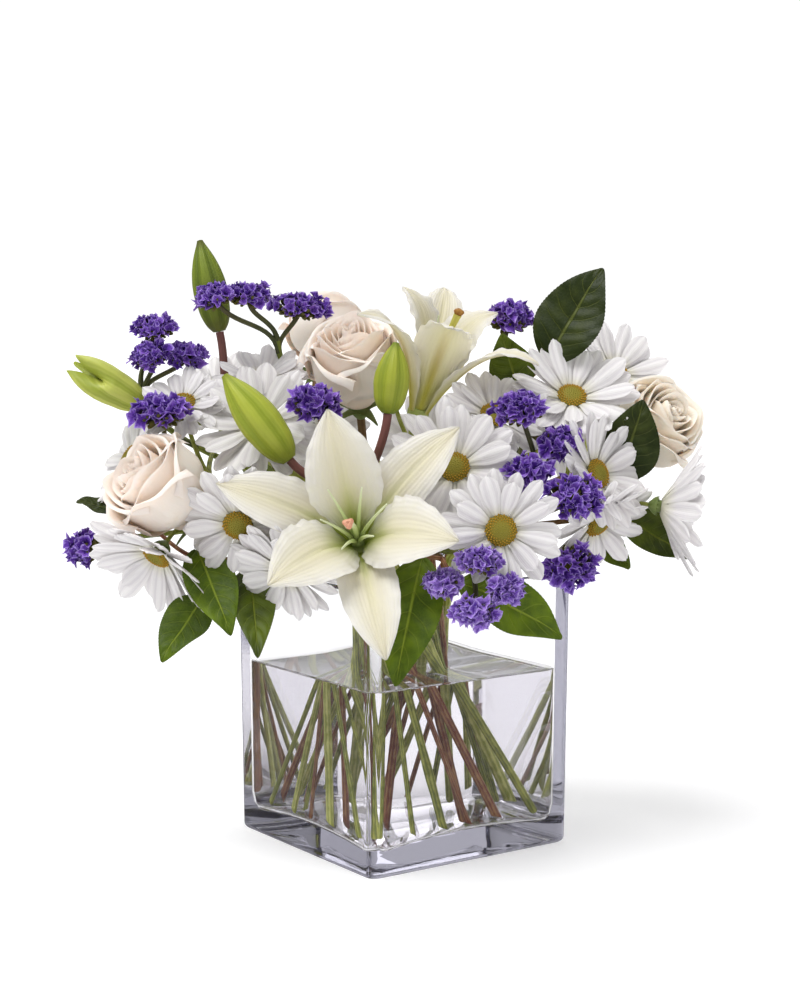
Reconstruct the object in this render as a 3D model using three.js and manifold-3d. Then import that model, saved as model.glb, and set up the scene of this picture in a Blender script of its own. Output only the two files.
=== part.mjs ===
// A square glass vase of water with a mixed bouquet: two open lilies with their buds, roses, daisy
// chrysanthemums, statice and salal leaves. Millimetres, +Z up.
//
// Two frames share one origin, the centre of the vase's foot. The vase's faces lie along X and Y.
// The bouquet's frame is turned about Z: seen from the bouquet's front, x runs to the right, y away
// and z up. Everything that grows is given in the bouquet's frame. A bloom faces (azimuth,
// elevation): azimuth 0 is towards the viewer at the front, and grows to the right.

import * as THREE from "three";
import { ConvexGeometry } from "three/addons/geometries/ConvexGeometry.js";
import { mergeVertices } from "three/addons/utils/BufferGeometryUtils.js";
import Module from "manifold-3d";

const wasm = await Module();
wasm.setup();

// ---------------------------------------------------------------- driving dimensions

const DEG = Math.PI / 180;
const GAP = 0.3; // what a piece keeps from the neighbour that it was cut by
const FINEST = 0.05; // a corner that stands out less than this is left out

const VASE = {
  side: 127,
  height: 142,
  wall: 6.5,
  base: 14, // thickness of the base at the middle of its floor
  corner: 9, // radius of the outer upright corners
  draft: 1, // how far each face stands in at the foot
};
const WATER_LEVEL = 93;
const BOUQUET_TURN = -35.2 * DEG;

// The stems cross the neck of the bouquet on two rings and spread to their feet by a steady twist.
const NECK = { z: 148, outer: 32, inner: 13 };
const FOOT = { z: VASE.base + 1.6, inner: 40, margin: 7, corner: 68 };
const TWIST = 118 * DEG;
const INNER_HALF = VASE.side / 2 - VASE.wall - VASE.draft;

// ---------------------------------------------------------------- finishes

const FINISH = {
  glass: { color: 0xdfe3ee, roughness: 0.03, metalness: 0 },
  water: { color: 0xe8eef0, roughness: 0.02, metalness: 0 },
  lily: { color: 0xf3f0dc, roughness: 0.55, metalness: 0 },
  lilyHeart: { color: 0xc8d284, roughness: 0.5, metalness: 0 },
  bud: { color: 0xa3b846, roughness: 0.45, metalness: 0 },
  rose: { color: 0xf6e8d8, roughness: 0.6, metalness: 0 },
  daisy: { color: 0xf4f3f5, roughness: 0.6, metalness: 0 },
  statice: { color: 0x5a3fae, roughness: 0.8, metalness: 0 },
  leaf: { color: 0x3f6a22, roughness: 0.4, metalness: 0 },
  stem: { color: 0x5d7a35, roughness: 0.5, metalness: 0 },
};

// ---------------------------------------------------------------- solids

const at = (x, y, z) => new THREE.Vector3(x, y, z);

// A repeatable stream of numbers from 0 to 1.
function randomFrom(seed) {
  let state = seed * 2654435761;
  return () => {
    state = (Math.imul(state ^ (state >>> 15), 2246822519) + 374761393) | 0;
    return ((state ^ (state >>> 13)) >>> 0) / 4294967296;
  };
}

// A geometry with nothing but its corners.
function bareGeometry(geometry) {
  const bare = geometry.clone();
  bare.deleteAttribute("normal");
  bare.deleteAttribute("uv");
  return bare;
}

// A closed geometry as a solid that can be joined and cut. Faces that closed up to a line are left out.
function solid(geometry) {
  const merged = mergeVertices(bareGeometry(geometry), 1e-4);
  const triVerts = [];
  for (let i = 0; i < merged.index.count; i += 3) {
    const [a, b, c] = [0, 1, 2].map((k) => merged.index.getX(i + k));
    if (a !== b && b !== c && c !== a) triVerts.push(a, b, c);
  }
  return new wasm.Manifold(
    new wasm.Mesh({
      numProp: 3,
      vertProperties: merged.attributes.position.array,
      triVerts: new Uint32Array(triVerts),
    }),
  );
}

// A solid as a geometry with flat faces.
function geometryOf(body) {
  const mesh = body.getMesh();
  const geometry = new THREE.BufferGeometry();
  const corners = new Float32Array(mesh.vertProperties);
  geometry.setAttribute("position", new THREE.BufferAttribute(corners, 3));
  geometry.setIndex(new THREE.BufferAttribute(new Uint32Array(mesh.triVerts), 1));
  return geometry;
}

function joined(bodies) {
  return bodies.reduce((sum, body) => sum.add(body));
}

// The largest connected body: a scrap that a cut left loose is dropped, and a sealed hollow is filled.
function largest(body) {
  const bodies = body.simplify(FINEST).decompose();
  return bodies.reduce((best, next) => (next.volume() > best.volume() ? next : best));
}

function fromTriangles(points, index) {
  const geometry = new THREE.BufferGeometry().setFromPoints(points);
  geometry.setIndex(index);
  return geometry;
}

// A convex solid round a blade's corners, with room to spare above, below, at its sides and past its
// tip. turn is the way that the blade points, about Z.
function around(corners, turn, room) {
  const spread = [];
  for (const corner of corners) {
    for (const [x, y, z] of [[1, 1, 1], [1, -1, 1], [1, 1, -1], [1, -1, -1]]) {
      const offset = at(x, y, z).multiplyScalar(room).applyAxisAngle(at(0, 0, 1), turn);
      spread.push(corner.clone().add(offset));
    }
  }
  return solid(new ConvexGeometry(spread));
}

// A closed skin over rings of equally many points, from a start pole to an end pole.
function loft(start, rings, end) {
  const count = rings[0].length;
  const points = [start, ...rings.flat(), end];
  const last = points.length - 1;
  const corner = (ring, k) => 1 + ring * count + (k % count);
  const index = [];
  for (let k = 0; k < count; k += 1) {
    index.push(0, corner(0, k + 1), corner(0, k));
    index.push(last, corner(rings.length - 1, k), corner(rings.length - 1, k + 1));
    for (let r = 0; r + 1 < rings.length; r += 1) {
      index.push(corner(r, k), corner(r, k + 1), corner(r + 1, k + 1));
      index.push(corner(r, k), corner(r + 1, k + 1), corner(r + 1, k));
    }
  }
  return fromTriangles(points, index);
}

// A thin closed blade. point(u, s) is its middle surface: u runs along it from 0 to 1, and s is the
// distance to either side in millimetres, out to width(u) / 2. Its edges are sharp and its middle is
// thick. Both faces are split into triangles alike. swell makes it larger all round.
function blade({ length, width, point, rows, cols, thick }, swell = 0) {
  const reach = swell / length;
  const faces = [[], []];
  for (let i = 0; i <= rows; i += 1) {
    const u = THREE.MathUtils.lerp(-reach, 1 + reach, i / rows);
    const half = width(THREE.MathUtils.clamp(u, 0, 1)) / 2 + swell;
    for (let j = 0; j <= cols; j += 1) {
      const s = half * ((2 * j) / cols - 1);
      const centre = point(u, s);
      const along = point(u + 0.01, s).sub(point(u - 0.01, s));
      const across = point(u, s + 0.1).sub(point(u, s - 0.1));
      const normal = along.cross(across).normalize();
      const edge = i === 0 || i === rows || j === 0 || j === cols;
      const offset = (edge ? 0 : thick / 2) + swell;
      faces[0].push(centre.clone().addScaledVector(normal, offset));
      faces[1].push(centre.clone().addScaledVector(normal, -offset));
    }
  }
  const line = cols + 1;
  const under = faces[0].length;
  const index = [];
  for (let i = 0; i < rows; i += 1) {
    for (let j = 0; j < cols; j += 1) {
      const [a, b] = [i * line + j, (i + 1) * line + j];
      const flip = j >= cols / 2;
      const split = flip ? [a, b, b + 1, a, b + 1, a + 1] : [a, b, a + 1, a + 1, b, b + 1];
      index.push(...split);
      for (let k = 0; k < 6; k += 3) {
        index.push(split[k] + under, split[k + 2] + under, split[k + 1] + under);
      }
    }
  }
  const rim = [];
  for (let j = 0; j < cols; j += 1) rim.push([j, j + 1]);
  for (let i = 0; i < rows; i += 1) rim.push([i * line + cols, (i + 1) * line + cols]);
  for (let j = cols; j > 0; j -= 1) rim.push([rows * line + j, rows * line + j - 1]);
  for (let i = rows; i > 0; i -= 1) rim.push([i * line, (i - 1) * line]);
  for (const [a, b] of rim) index.push(a, b, b + under, a, b + under, a + under);
  return fromTriangles([...faces[0], ...faces[1]], index);
}

// A midrib in its own x-z plane: a smooth curve from a point and a slope to another point and slope.
const RIB_PULL = 0.38; // how far the handles reach, as a share of the span

function midrib(start, startSlope, end, endSlope) {
  const pull = Math.hypot(end[0] - start[0], end[1] - start[1]) * RIB_PULL;
  const curve = new THREE.CubicBezierCurve(
    new THREE.Vector2(...start),
    new THREE.Vector2(start[0] + pull * Math.cos(startSlope), start[1] + pull * Math.sin(startSlope)),
    new THREE.Vector2(end[0] - pull * Math.cos(endSlope), end[1] - pull * Math.sin(endSlope)),
    new THREE.Vector2(...end),
  );
  return (u) => {
    const ahead = curve.getPoint(u + 0.01).sub(curve.getPoint(u - 0.01));
    const { x, y } = curve.getPoint(u);
    return { x, z: y, slope: Math.atan2(ahead.y, ahead.x) };
  };
}

// A blade's middle surface along a midrib: lift(u, s) raises it square to the midrib.
function alongRib(rib, lift) {
  return (u, s) => {
    const here = rib(u);
    const up = lift(THREE.MathUtils.clamp(u, 0, 1), s);
    return new THREE.Vector3(here.x - Math.sin(here.slope) * up, s, here.z + Math.cos(here.slope) * up);
  };
}

// A many-sided tube along a curve, stepped evenly in the curve's own parameter. swell moves its
// sides out.
function tube(curve, radius, swell, steps, sides = 5) {
  const corner = radius + swell / Math.cos(Math.PI / sides);
  const section = new THREE.Shape();
  for (let k = 0; k < sides; k += 1) {
    const turn = (2 * Math.PI * k) / sides;
    if (k === 0) section.moveTo(corner, 0);
    else section.lineTo(corner * Math.cos(turn), corner * Math.sin(turn));
  }
  curve.getUtoTmapping = (u) => u;
  return new THREE.ExtrudeGeometry(section, {
    extrudePath: curve,
    steps,
    bevelEnabled: false,
  });
}

// A round body on +Z from a profile of [radius, height] pairs that starts and ends on the axis.
function turned(profile, sides) {
  const points = profile.map(([radius, height]) => new THREE.Vector2(radius, height));
  return new THREE.LatheGeometry(points, sides).rotateX(Math.PI / 2);
}

// ---------------------------------------------------------------- places

// The direction that (azimuth, elevation) in degrees names in the bouquet's frame.
function facing(azimuth, elevation) {
  const [a, e] = [azimuth * DEG, elevation * DEG];
  return at(Math.sin(a) * Math.cos(e), -Math.cos(a) * Math.cos(e), Math.sin(e));
}

// The matrix that stands a bloom made about +Z at a place, facing a direction, rolled about itself.
// Unrolled, its own +X points to the right of the bloom as its face is looked at.
function placement(place, direction, roll = 0) {
  const axis = direction.clone().normalize();
  const side = at(0, 0, 1).cross(axis);
  if (side.lengthSq() < 1e-6) side.set(1, 0, 0);
  side.normalize();
  const up = axis.clone().cross(side);
  const basis = new THREE.Matrix4().makeBasis(side, up, axis).setPosition(place);
  return basis.multiply(new THREE.Matrix4().makeRotationZ(roll * DEG));
}

function moved(body, matrix) {
  return solid(geometryOf(body).applyMatrix4(matrix));
}

// ---------------------------------------------------------------- vase and water

// A square ring with round corners. lift(x, y) raises its points above z.
function squareRing(half, radius, z, lift = () => 0) {
  const arcs = 2;
  const points = [];
  for (let corner = 0; corner < 4; corner += 1) {
    const turn = (corner * Math.PI) / 2;
    const sign = [
      [1, 1],
      [-1, 1],
      [-1, -1],
      [1, -1],
    ][corner];
    for (let k = 0; k <= arcs; k += 1) {
      const angle = turn + (k * Math.PI) / 2 / arcs;
      const x = sign[0] * (half - radius) + radius * Math.cos(angle);
      const y = sign[1] * (half - radius) + radius * Math.sin(angle);
      points.push(at(x, y, z + lift(x, y)));
    }
  }
  return points;
}

// The rings of the vase's inner face from its floor up, shrunk by inset all round.
function innerRings(top, inset) {
  const { base } = VASE;
  const half = INNER_HALF - inset;
  const slope = VASE.draft / VASE.height;
  const floor = base - 2.5 + inset;
  const wall = (z) => half + slope * z;
  return [
    squareRing(half * 0.62, 10, floor + 1.6),
    squareRing(half - 5, 8, floor),
    squareRing(half - 1, 9, floor + 2.5),
    squareRing(wall(floor + 8), 7, floor + 8),
    squareRing(wall(top), 7, top),
  ];
}

function vaseGeometry() {
  const { side, height, corner, draft, base } = VASE;
  const half = side / 2;
  const foot = half - draft;
  const inner = innerRings(height - 1.2, 0).reverse();
  const rings = [
    squareRing(foot - 3, corner - 2, 0),
    squareRing(foot - 0.8, corner, 1),
    squareRing(foot, corner, 3.5),
    squareRing(half, corner - 2, height - 1.4),
    squareRing(half - 1.4, corner - 3, height),
    squareRing(half - VASE.wall + 1.2, corner - 4, height),
    ...inner,
  ];
  return loft(at(0, 0, 0), rings, at(0, 0, base));
}

function waterGeometry() {
  const rings = innerRings(WATER_LEVEL, GAP);
  return loft(at(0, 0, VASE.base + GAP), rings, at(0, 0, WATER_LEVEL));
}

// ---------------------------------------------------------------- blooms that set their stems

// Each rose's place at the base of its petals, the way it faces, and its size.
const ROSES = {
  rose_left: { place: at(-102, -38, 175), face: facing(-56, 34), size: 0.98 },
  rose_high: { place: at(-21, 10, 229), face: facing(-12, 60), size: 0.95 },
  rose_right: { place: at(119, 26, 205), face: facing(40, 30), size: 0.9 },
  rose_back: { place: at(-46, 62, 246), face: facing(165, 60), size: 0.85 },
};

// ---------------------------------------------------------------- stems

// Each stem's thickness, ring, and the place and direction in which it ends, in their order round
// the neck. lean is the direction that it ends in.
const STEMS = [
  { name: "lily_a", radius: 3.3, ring: "outer", end: at(-17, -30, 176), lean: at(-0.2, -0.5, 1) },
  { name: "statice_front", radius: 1.7, ring: "outer", end: at(30, -74, 160), lean: at(0.2, -1, 0.1) },
  { name: "leaves_front", radius: 1.5, ring: "outer", end: at(20, -66, 156), lean: at(0, -1, 0.1) },
  { name: "daisies_centre", radius: 2.2, ring: "outer", end: at(36, -40, 172), lean: at(0, -0.5, 1) },
  { name: "statice_right", radius: 1.8, ring: "outer", end: at(66, -42, 184), lean: at(0.3, -0.3, 1) },
  { name: "leaves_right", radius: 1.5, ring: "outer", end: at(104, -8, 172), lean: at(1, 0, 0.3) },
  { name: "daisies_right", radius: 2.3, ring: "outer", end: at(84, 4, 184), lean: at(0.6, 0, 1) },
  { name: "rose_right", radius: 2.5, ring: "outer", rose: true },
  { name: "statice_back", radius: 1.7, ring: "outer", end: at(62, 48, 190), lean: at(0.5, 0.5, 1) },
  { name: "daisies_back", radius: 2.2, ring: "outer", end: at(12, 48, 180), lean: at(0, 0.4, 1) },
  { name: "leaves_back", radius: 1.5, ring: "outer", end: at(-30, 78, 170), lean: at(-0.2, 1, 0.3) },
  { name: "lily_c", radius: 3.0, ring: "outer", end: at(-86, 10, 216), lean: at(-0.6, 0.1, 1) },
  { name: "statice_left", radius: 1.8, ring: "outer", end: at(-138, 16, 238), lean: at(-0.2, -0.1, 1) },
  { name: "statice_low", radius: 1.5, ring: "outer", end: at(-146, -4, 160), lean: at(-1, 0, 0) },
  { name: "daisies_left", radius: 2.3, ring: "outer", end: at(-96, -12, 186), lean: at(-0.6, 0, 0.8) },
  { name: "leaves_left", radius: 1.5, ring: "outer", end: at(-92, -38, 152), lean: at(-1, -0.3, 0) },
  { name: "rose_left", radius: 2.5, ring: "outer", rose: true },
  { name: "daisies_front", radius: 2.3, ring: "outer", end: at(-54, -36, 182), lean: at(-0.4, -0.3, 1) },
  { name: "lily_b", radius: 2.9, ring: "inner", end: at(6, 12, 208), lean: facing(38, 72) },
  { name: "leaves_high", radius: 1.5, ring: "inner", end: at(66, 14, 240), lean: at(0.5, 0, 1) },
  { name: "statice_high", radius: 1.6, ring: "inner", end: at(53, 30, 262), lean: at(0, 0, 1) },
  { name: "rose_back", radius: 2.4, ring: "inner", rose: true },
  { name: "rose_high", radius: 2.5, ring: "inner", rose: true },
  { name: "statice_crown", radius: 1.8, ring: "inner", end: at(-66, 18, 262), lean: at(-0.1, 0, 1) },
];

// A rose's stem ends in its hip.
for (const stem of STEMS.filter(({ rose }) => rose)) {
  const { place, face } = ROSES[stem.name];
  stem.end = place.clone().addScaledVector(face, -7.5);
  stem.lean = face;
}

// Turns each ring's stems into places round it, spaced by how thick they are.
function neckAngles(ring, firstAngle) {
  const stems = STEMS.filter((stem) => stem.ring === ring);
  const share = stems.map((stem) => 2 * stem.radius + 1.2);
  const total = share.reduce((a, b) => a + b);
  let turn = firstAngle * DEG;
  stems.forEach((stem, i) => {
    stem.angle = turn;
    const next = share[(i + 1) % share.length];
    turn += ((share[i] + next) / 2 / total) * 2 * Math.PI;
  });
}
neckAngles("outer", -100);
neckAngles("inner", -40);

// How far out an outer stem's foot stands in a direction, close to the vase's square wall.
function footReach(turn) {
  const inVase = turn + BOUQUET_TURN;
  const toFace = Math.max(Math.abs(Math.cos(inVase)), Math.abs(Math.sin(inVase)));
  return Math.min((INNER_HALF - FOOT.margin) / toFace, FOOT.corner);
}

const BEND_PULL = 0.34; // how far a stem's bend holds to the way it starts and ends in
const STEM_STEPS = 5; // one for the straight lower part, the others for the bend

// A stem's curve: straight from its foot to the neck, then bending to its end. swell lowers its foot.
class StemCurve extends THREE.Curve {
  constructor(stem, swell = 0) {
    super();
    const neck = NECK[stem.ring];
    const swing = stem.angle + TWIST;
    const foot = stem.ring === "inner" ? FOOT.inner : footReach(swing);
    this.neck = at(neck * Math.cos(stem.angle), neck * Math.sin(stem.angle), NECK.z);
    this.foot = at(foot * Math.cos(swing), foot * Math.sin(swing), FOOT.z);
    const rise = this.neck.clone().sub(this.foot).normalize();
    this.foot.addScaledVector(rise, -swell);
    const span = this.neck.distanceTo(stem.end);
    const lean = stem.lean.clone().normalize();
    this.bend = new THREE.CubicBezierCurve3(
      this.neck,
      this.neck.clone().addScaledVector(rise, span * BEND_PULL),
      stem.end.clone().addScaledVector(lean, -span * BEND_PULL),
      stem.end,
    );
  }

  getPoint(t, target = new THREE.Vector3()) {
    const straight = 1 / STEM_STEPS;
    if (t < straight) return target.lerpVectors(this.foot, this.neck, t / straight);
    return target.copy(this.bend.getPoint((t - straight) / (1 - straight)));
  }
}

const stemNamed = (name) => STEMS.find((stem) => stem.name === name);

function stemSolid(name, swell) {
  const stem = stemNamed(name);
  return solid(tube(new StemCurve(stem, swell), stem.radius, swell, STEM_STEPS));
}

// A side branch from a point of its stem, at part t of the bend, to an end that it reaches in a
// direction.
const BRANCH_PULL = 0.4;

function branch(name, t, end, lean, radius, swell, steps = 2, sides = 3) {
  const { bend } = new StemCurve(stemNamed(name));
  const root = bend.getPoint(t);
  const rise = bend.getTangent(t);
  const span = root.distanceTo(end);
  const curve = new THREE.CubicBezierCurve3(
    root,
    root.clone().addScaledVector(rise, span * BRANCH_PULL),
    end.clone().addScaledVector(lean.clone().normalize(), -span * BRANCH_PULL),
    end,
  );
  return solid(tube(curve, radius, swell, steps, sides));
}

// ---------------------------------------------------------------- lilies

// Each lily's place at the base of its tepals, the way it faces, its roll, where the tips of its
// outer and inner tepals lie (how far from its axis and how far along it), and how wide they are.
const LILIES = {
  lily_a: {
    place: at(-21.7, -50, 160.8),
    face: facing(-2.5, 24),
    roll: 44,
    outer: [70, 39],
    inner: [53, 56],
    wide: 1,
  },
  lily_b: {
    place: at(8, 8, 223),
    face: facing(42, 65),
    roll: -69,
    outer: [55, 54],
    inner: [30, 61],
    wide: 0.8,
  },
};

// One tepal: its midrib rises out of the throat and rolls back at the tip.
function tepal(inner, tip, wide) {
  const widest = (inner ? 37 : 29) * wide;
  const rib = midrib([inner ? 2.6 : 4.4, 0], 76 * DEG, tip, (inner ? 4 : -14) * DEG);
  const [claw, full, point] = [4.5, 0.55, 1.5];
  const width = (u) => {
    if (u < full) return claw + (widest - claw) * THREE.MathUtils.smoothstep(u, 0, full);
    const taper = ((u - full) / (1 - full)) ** 1.7;
    return point + (widest - point) * Math.cos((taper * Math.PI) / 2) ** 0.8;
  };
  const wave = inner ? 1.6 : 0.8;
  const lift = (u, s) => {
    const out = Math.abs(s) / (widest / 2);
    const trough = 0.3 * Math.abs(s) * (1 - Math.min(u, 1));
    return trough + wave * out ** 2 * Math.sin(u * 11 + Math.sign(s));
  };
  return { length: 82, width, point: alongRib(rib, lift), rows: 5, cols: 4, thick: 1.5 };
}

function lilyTepals(name, swell) {
  const { outer, inner, wide } = LILIES[name];
  const bodies = [solid(turned([[0, -5], [5 + swell, -3 - swell], [6 + swell, 4], [0, 6 + swell]], 6))];
  for (let k = 0; k < 6; k += 1) {
    const shape = k % 2 === 1 ? tepal(true, inner, wide) : tepal(false, outer, wide);
    bodies.push(solid(blade(shape, swell).rotateZ(k * 60 * DEG)));
  }
  return joined(bodies);
}

// How far out the filaments stand half way up and at their tips, and how high; the place of the
// stigma.
const HEART = { foot: 9, middle: [5, 30], tip: [15, 48], stigma: [-5, 3, 58], usual: 53 };

// The heart: six filaments round a longer pistil with a three-lobed stigma, on a small base. It
// spreads as far as the inner tepals do.
function lilyHeart(name, swell) {
  const spread = LILIES[name].inner[0] / HEART.usual;
  const bodies = [solid(turned([[0, 6.3], [3.4 + swell, 8], [2.6 + swell, 12], [0, 13]], 6))];
  for (let k = 0; k < 6; k += 1) {
    const turn = (k * 60 + 30) * DEG;
    const out = at(Math.cos(turn), Math.sin(turn), 0);
    const curve = new THREE.QuadraticBezierCurve3(
      out.clone().multiplyScalar(1.2).setZ(HEART.foot),
      out.clone().multiplyScalar(HEART.middle[0] * spread).setZ(HEART.middle[1]),
      out.clone().multiplyScalar((HEART.tip[0] + 2 * (k % 2)) * spread).setZ(HEART.tip[1] + 3 * (k % 3)),
    );
    bodies.push(solid(tube(curve, 1, swell, 2, 3)));
  }
  const pistil = new THREE.QuadraticBezierCurve3(at(0, 0, 10), at(1, 0, 38), at(...HEART.stigma));
  bodies.push(solid(tube(pistil, 1.4, swell, 2, 4)));
  const stigma = turned([[0, -2.5], [3 + swell, 0.5], [0, 3]], 6);
  bodies.push(solid(stigma.translate(...HEART.stigma)));
  return joined(bodies);
}

// ---------------------------------------------------------------- buds

const BUDS = {
  bud_top: { base: at(-97, 22, 267), tip: at(-107, 22, 315), radius: 9.5 },
  bud_left: { base: at(-135, 0, 229), tip: at(-172, 0, 251), radius: 10 },
  bud_centre: { base: at(-56, -50, 204), tip: at(-88, -50, 246), radius: 11 },
  bud_middle: { base: at(-7, -48, 227), tip: at(-3, -48, 262), radius: 9.5 },
};

// Where a bud stands and which way it points.
function budSeat(name) {
  const { base, tip } = BUDS[name];
  return { place: base, face: tip.clone().sub(base).normalize() };
}

// A closed bud: long, fullest below its middle, with six soft ribs.
function bud(name, swell) {
  const { base, tip, radius } = BUDS[name];
  const length = base.distanceTo(tip);
  const stations = [
    [0.03, 0.42],
    [0.2, 0.86],
    [0.42, 1],
    [0.68, 0.82],
    [0.88, 0.46],
    [0.97, 0.22],
  ];
  const rings = stations.map(([part, full]) => {
    const points = [];
    for (let k = 0; k < 12; k += 1) {
      const turn = (k * Math.PI) / 6;
      const rib = k % 2 === 0 ? 1 : 0.92;
      const reach = radius * full * rib + swell;
      points.push(at(reach * Math.cos(turn), reach * Math.sin(turn), part * length));
    }
    return points;
  });
  return solid(loft(at(0, 0, -swell), rings, at(0, 0, length + swell)));
}

// ---------------------------------------------------------------- roses

// Layers of petals from the outside inwards: how many, how far out the layer stands at its belly and
// at its lip, how high its lip and its trough lie.
const ROSE_LAYERS = [
  { petals: 5, belly: 23.5, lip: 26, top: 26, trough: 11 },
  { petals: 4, belly: 16.5, lip: 17.5, top: 31, trough: 16 },
  { petals: 3, belly: 9.5, lip: 9, top: 33, trough: 22 },
];
const ROSE_TALL = 1.5; // every height above is stretched by this
const ROSE_HEART = 30; // height of the furled heart's middle, before that
const ROSE_ROLL = 20; // degrees
const ROSE_WALL = 2.2; // thickness of a layer of petals
const ROSE_POINTS = 18; // points round a layer

// One ring of a layer: petals stand out in a scalloped edge, each with one side over its neighbour.
function roseRing({ petals }, layer, radius, height, scallop, inset) {
  const points = [];
  for (let k = 0; k < ROSE_POINTS; k += 1) {
    const turn = (2 * Math.PI * k) / ROSE_POINTS;
    const across = (((turn / (2 * Math.PI)) * petals + layer * 0.37) % 1) - 0.5;
    const full = Math.cos(Math.PI * across) ** 0.5;
    const lapped = radius + 1.6 * across - inset - (1 - full) * 1.5;
    const z = height - scallop * (1 - full);
    points.push(at(lapped * Math.cos(turn), lapped * Math.sin(turn), z));
  }
  return points;
}

// A rose head in one skin: up the outside of each layer of petals, over its scalloped lip, down
// into the trough behind it and up the next layer, to the furled heart.
function roseHead(name, swell) {
  const { size } = ROSES[name];
  const rings = [];
  ROSE_LAYERS.forEach((layer, n) => {
    const ring = (radius, height, scallop, inset) =>
      roseRing(layer, n, radius * size, height * size * ROSE_TALL, scallop * size, inset);
    if (n === 0) rings.push(ring(12, 1.5, 0, -swell), ring(layer.belly, 13, 0, -swell));
    rings.push(ring(layer.lip, layer.top + swell, 7, -swell));
    rings.push(ring(layer.lip, layer.top + swell, 7, ROSE_WALL + swell));
    rings.push(ring(layer.belly - 2, layer.trough, 0, ROSE_WALL * 1.3));
  });
  const heart = ROSE_LAYERS[2];
  rings.pop();
  rings.push(roseRing(heart, 3, 3.2 * size, heart.trough * size * ROSE_TALL, 0, 0));
  return solid(loft(at(0, 0, -swell), rings, at(0, 0, ROSE_HEART * size * ROSE_TALL)));
}

// A rose's stem ends in the hip below the petals and five sepals.
function roseStem(name, swell) {
  const { place, face, size } = ROSES[name];
  const hip = turned([[0, -9], [3.2 + swell, -8], [5 + swell, -3], [0, -GAP + swell]], 6);
  const bodies = [stemSolid(name, swell), solid(hip.applyMatrix4(placement(place, face)))];
  const rib = midrib([3, -3.4], 20 * DEG, [22 * size, -3], -15 * DEG);
  for (let k = 0; k < 5; k += 1) {
    const sepal = {
      length: 20 * size,
      width: (u) => 7 * (1 - u) + 0.8,
      point: alongRib(rib, (u, s) => 0.1 * Math.abs(s)),
      rows: 1,
      cols: 2,
      thick: 1.2,
    };
    const matrix = placement(place, face, k * 72);
    bodies.push(solid(blade(sepal, swell).applyMatrix4(matrix)));
  }
  return joined(bodies);
}

// ---------------------------------------------------------------- daisies

// Each bloom: its place, the way it faces, its radius, how steeply its petals rise (where it isn't
// nearly flat), and where it leaves its spray's stem.
const DAISIES = {
  daisies_left: [
    { place: at(-113, -18, 226), face: facing(-14, 50), radius: 26, from: 0.75 },
    { place: at(-101, 42, 232), face: facing(-22, 50), radius: 29, from: 0.9 },
    { place: at(-139, -8, 202), face: facing(-66, 28), radius: 30, from: 0.6 },
    { place: at(-122, -44, 157), face: facing(-38, -44), radius: 35, rise: 0.5, from: 0.35 },
  ],
  daisies_front: [
    { place: at(-72, -24, 219), face: facing(-8, 35), radius: 35, from: 0.9 },
    { place: at(-74, 2, 240), face: facing(-5, 58), radius: 27, from: 0.8 },
    { place: at(-80, -67, 174), face: facing(-8, -22), radius: 31, from: 0.6 },
    { place: at(-55, -73, 153), face: facing(-28, -32), radius: 30, rise: 0.3, from: 0.4 },
  ],
  daisies_centre: [
    { place: at(26, -56, 200), face: facing(-5, 22), radius: 34, from: 0.8 },
    { place: at(47, -89, 173), face: facing(3, 5), radius: 30, from: 0.5 },
    { place: at(45, -22, 223), face: facing(10, 45), radius: 29, from: 0.9 },
  ],
  daisies_right: [
    { place: at(88, -4, 232), face: facing(8, 46), radius: 34, rise: 0.4, from: 0.9 },
    { place: at(117, 46, 240), face: facing(32, 42), radius: 34, rise: 0.35, from: 0.85 },
    { place: at(97, -34, 195), face: facing(45, 18), radius: 31, rise: 0.35, from: 0.6 },
    { place: at(99, -26, 171), face: facing(42, -36), radius: 32, rise: 0.35, from: 0.4 },
    { place: at(133, -24, 178), face: facing(84, -8), radius: 33, rise: 0.7, from: 0.7 },
  ],
  daisies_back: [
    { place: at(-44, 72, 206), face: facing(-155, 20), radius: 32, from: 0.8 },
    { place: at(16, 84, 200), face: facing(178, 12), radius: 32, from: 0.9 },
    { place: at(84, 66, 206), face: facing(140, 25), radius: 32, from: 0.75 },
    { place: at(-4, 40, 244), face: facing(170, 65), radius: 29, from: 0.95 },
  ],
};

// neck: radius of the waist that holds the ring of petals. ring: where two petals part. Half a
// petal's width, at its widest and at its blunt tip, as a share of the bloom's radius.
const DAISY = { petals: 10, neck: 3.2, ring: 6.5, widest: 0.225, tip: 0.123, thick: 1.6 };

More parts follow.
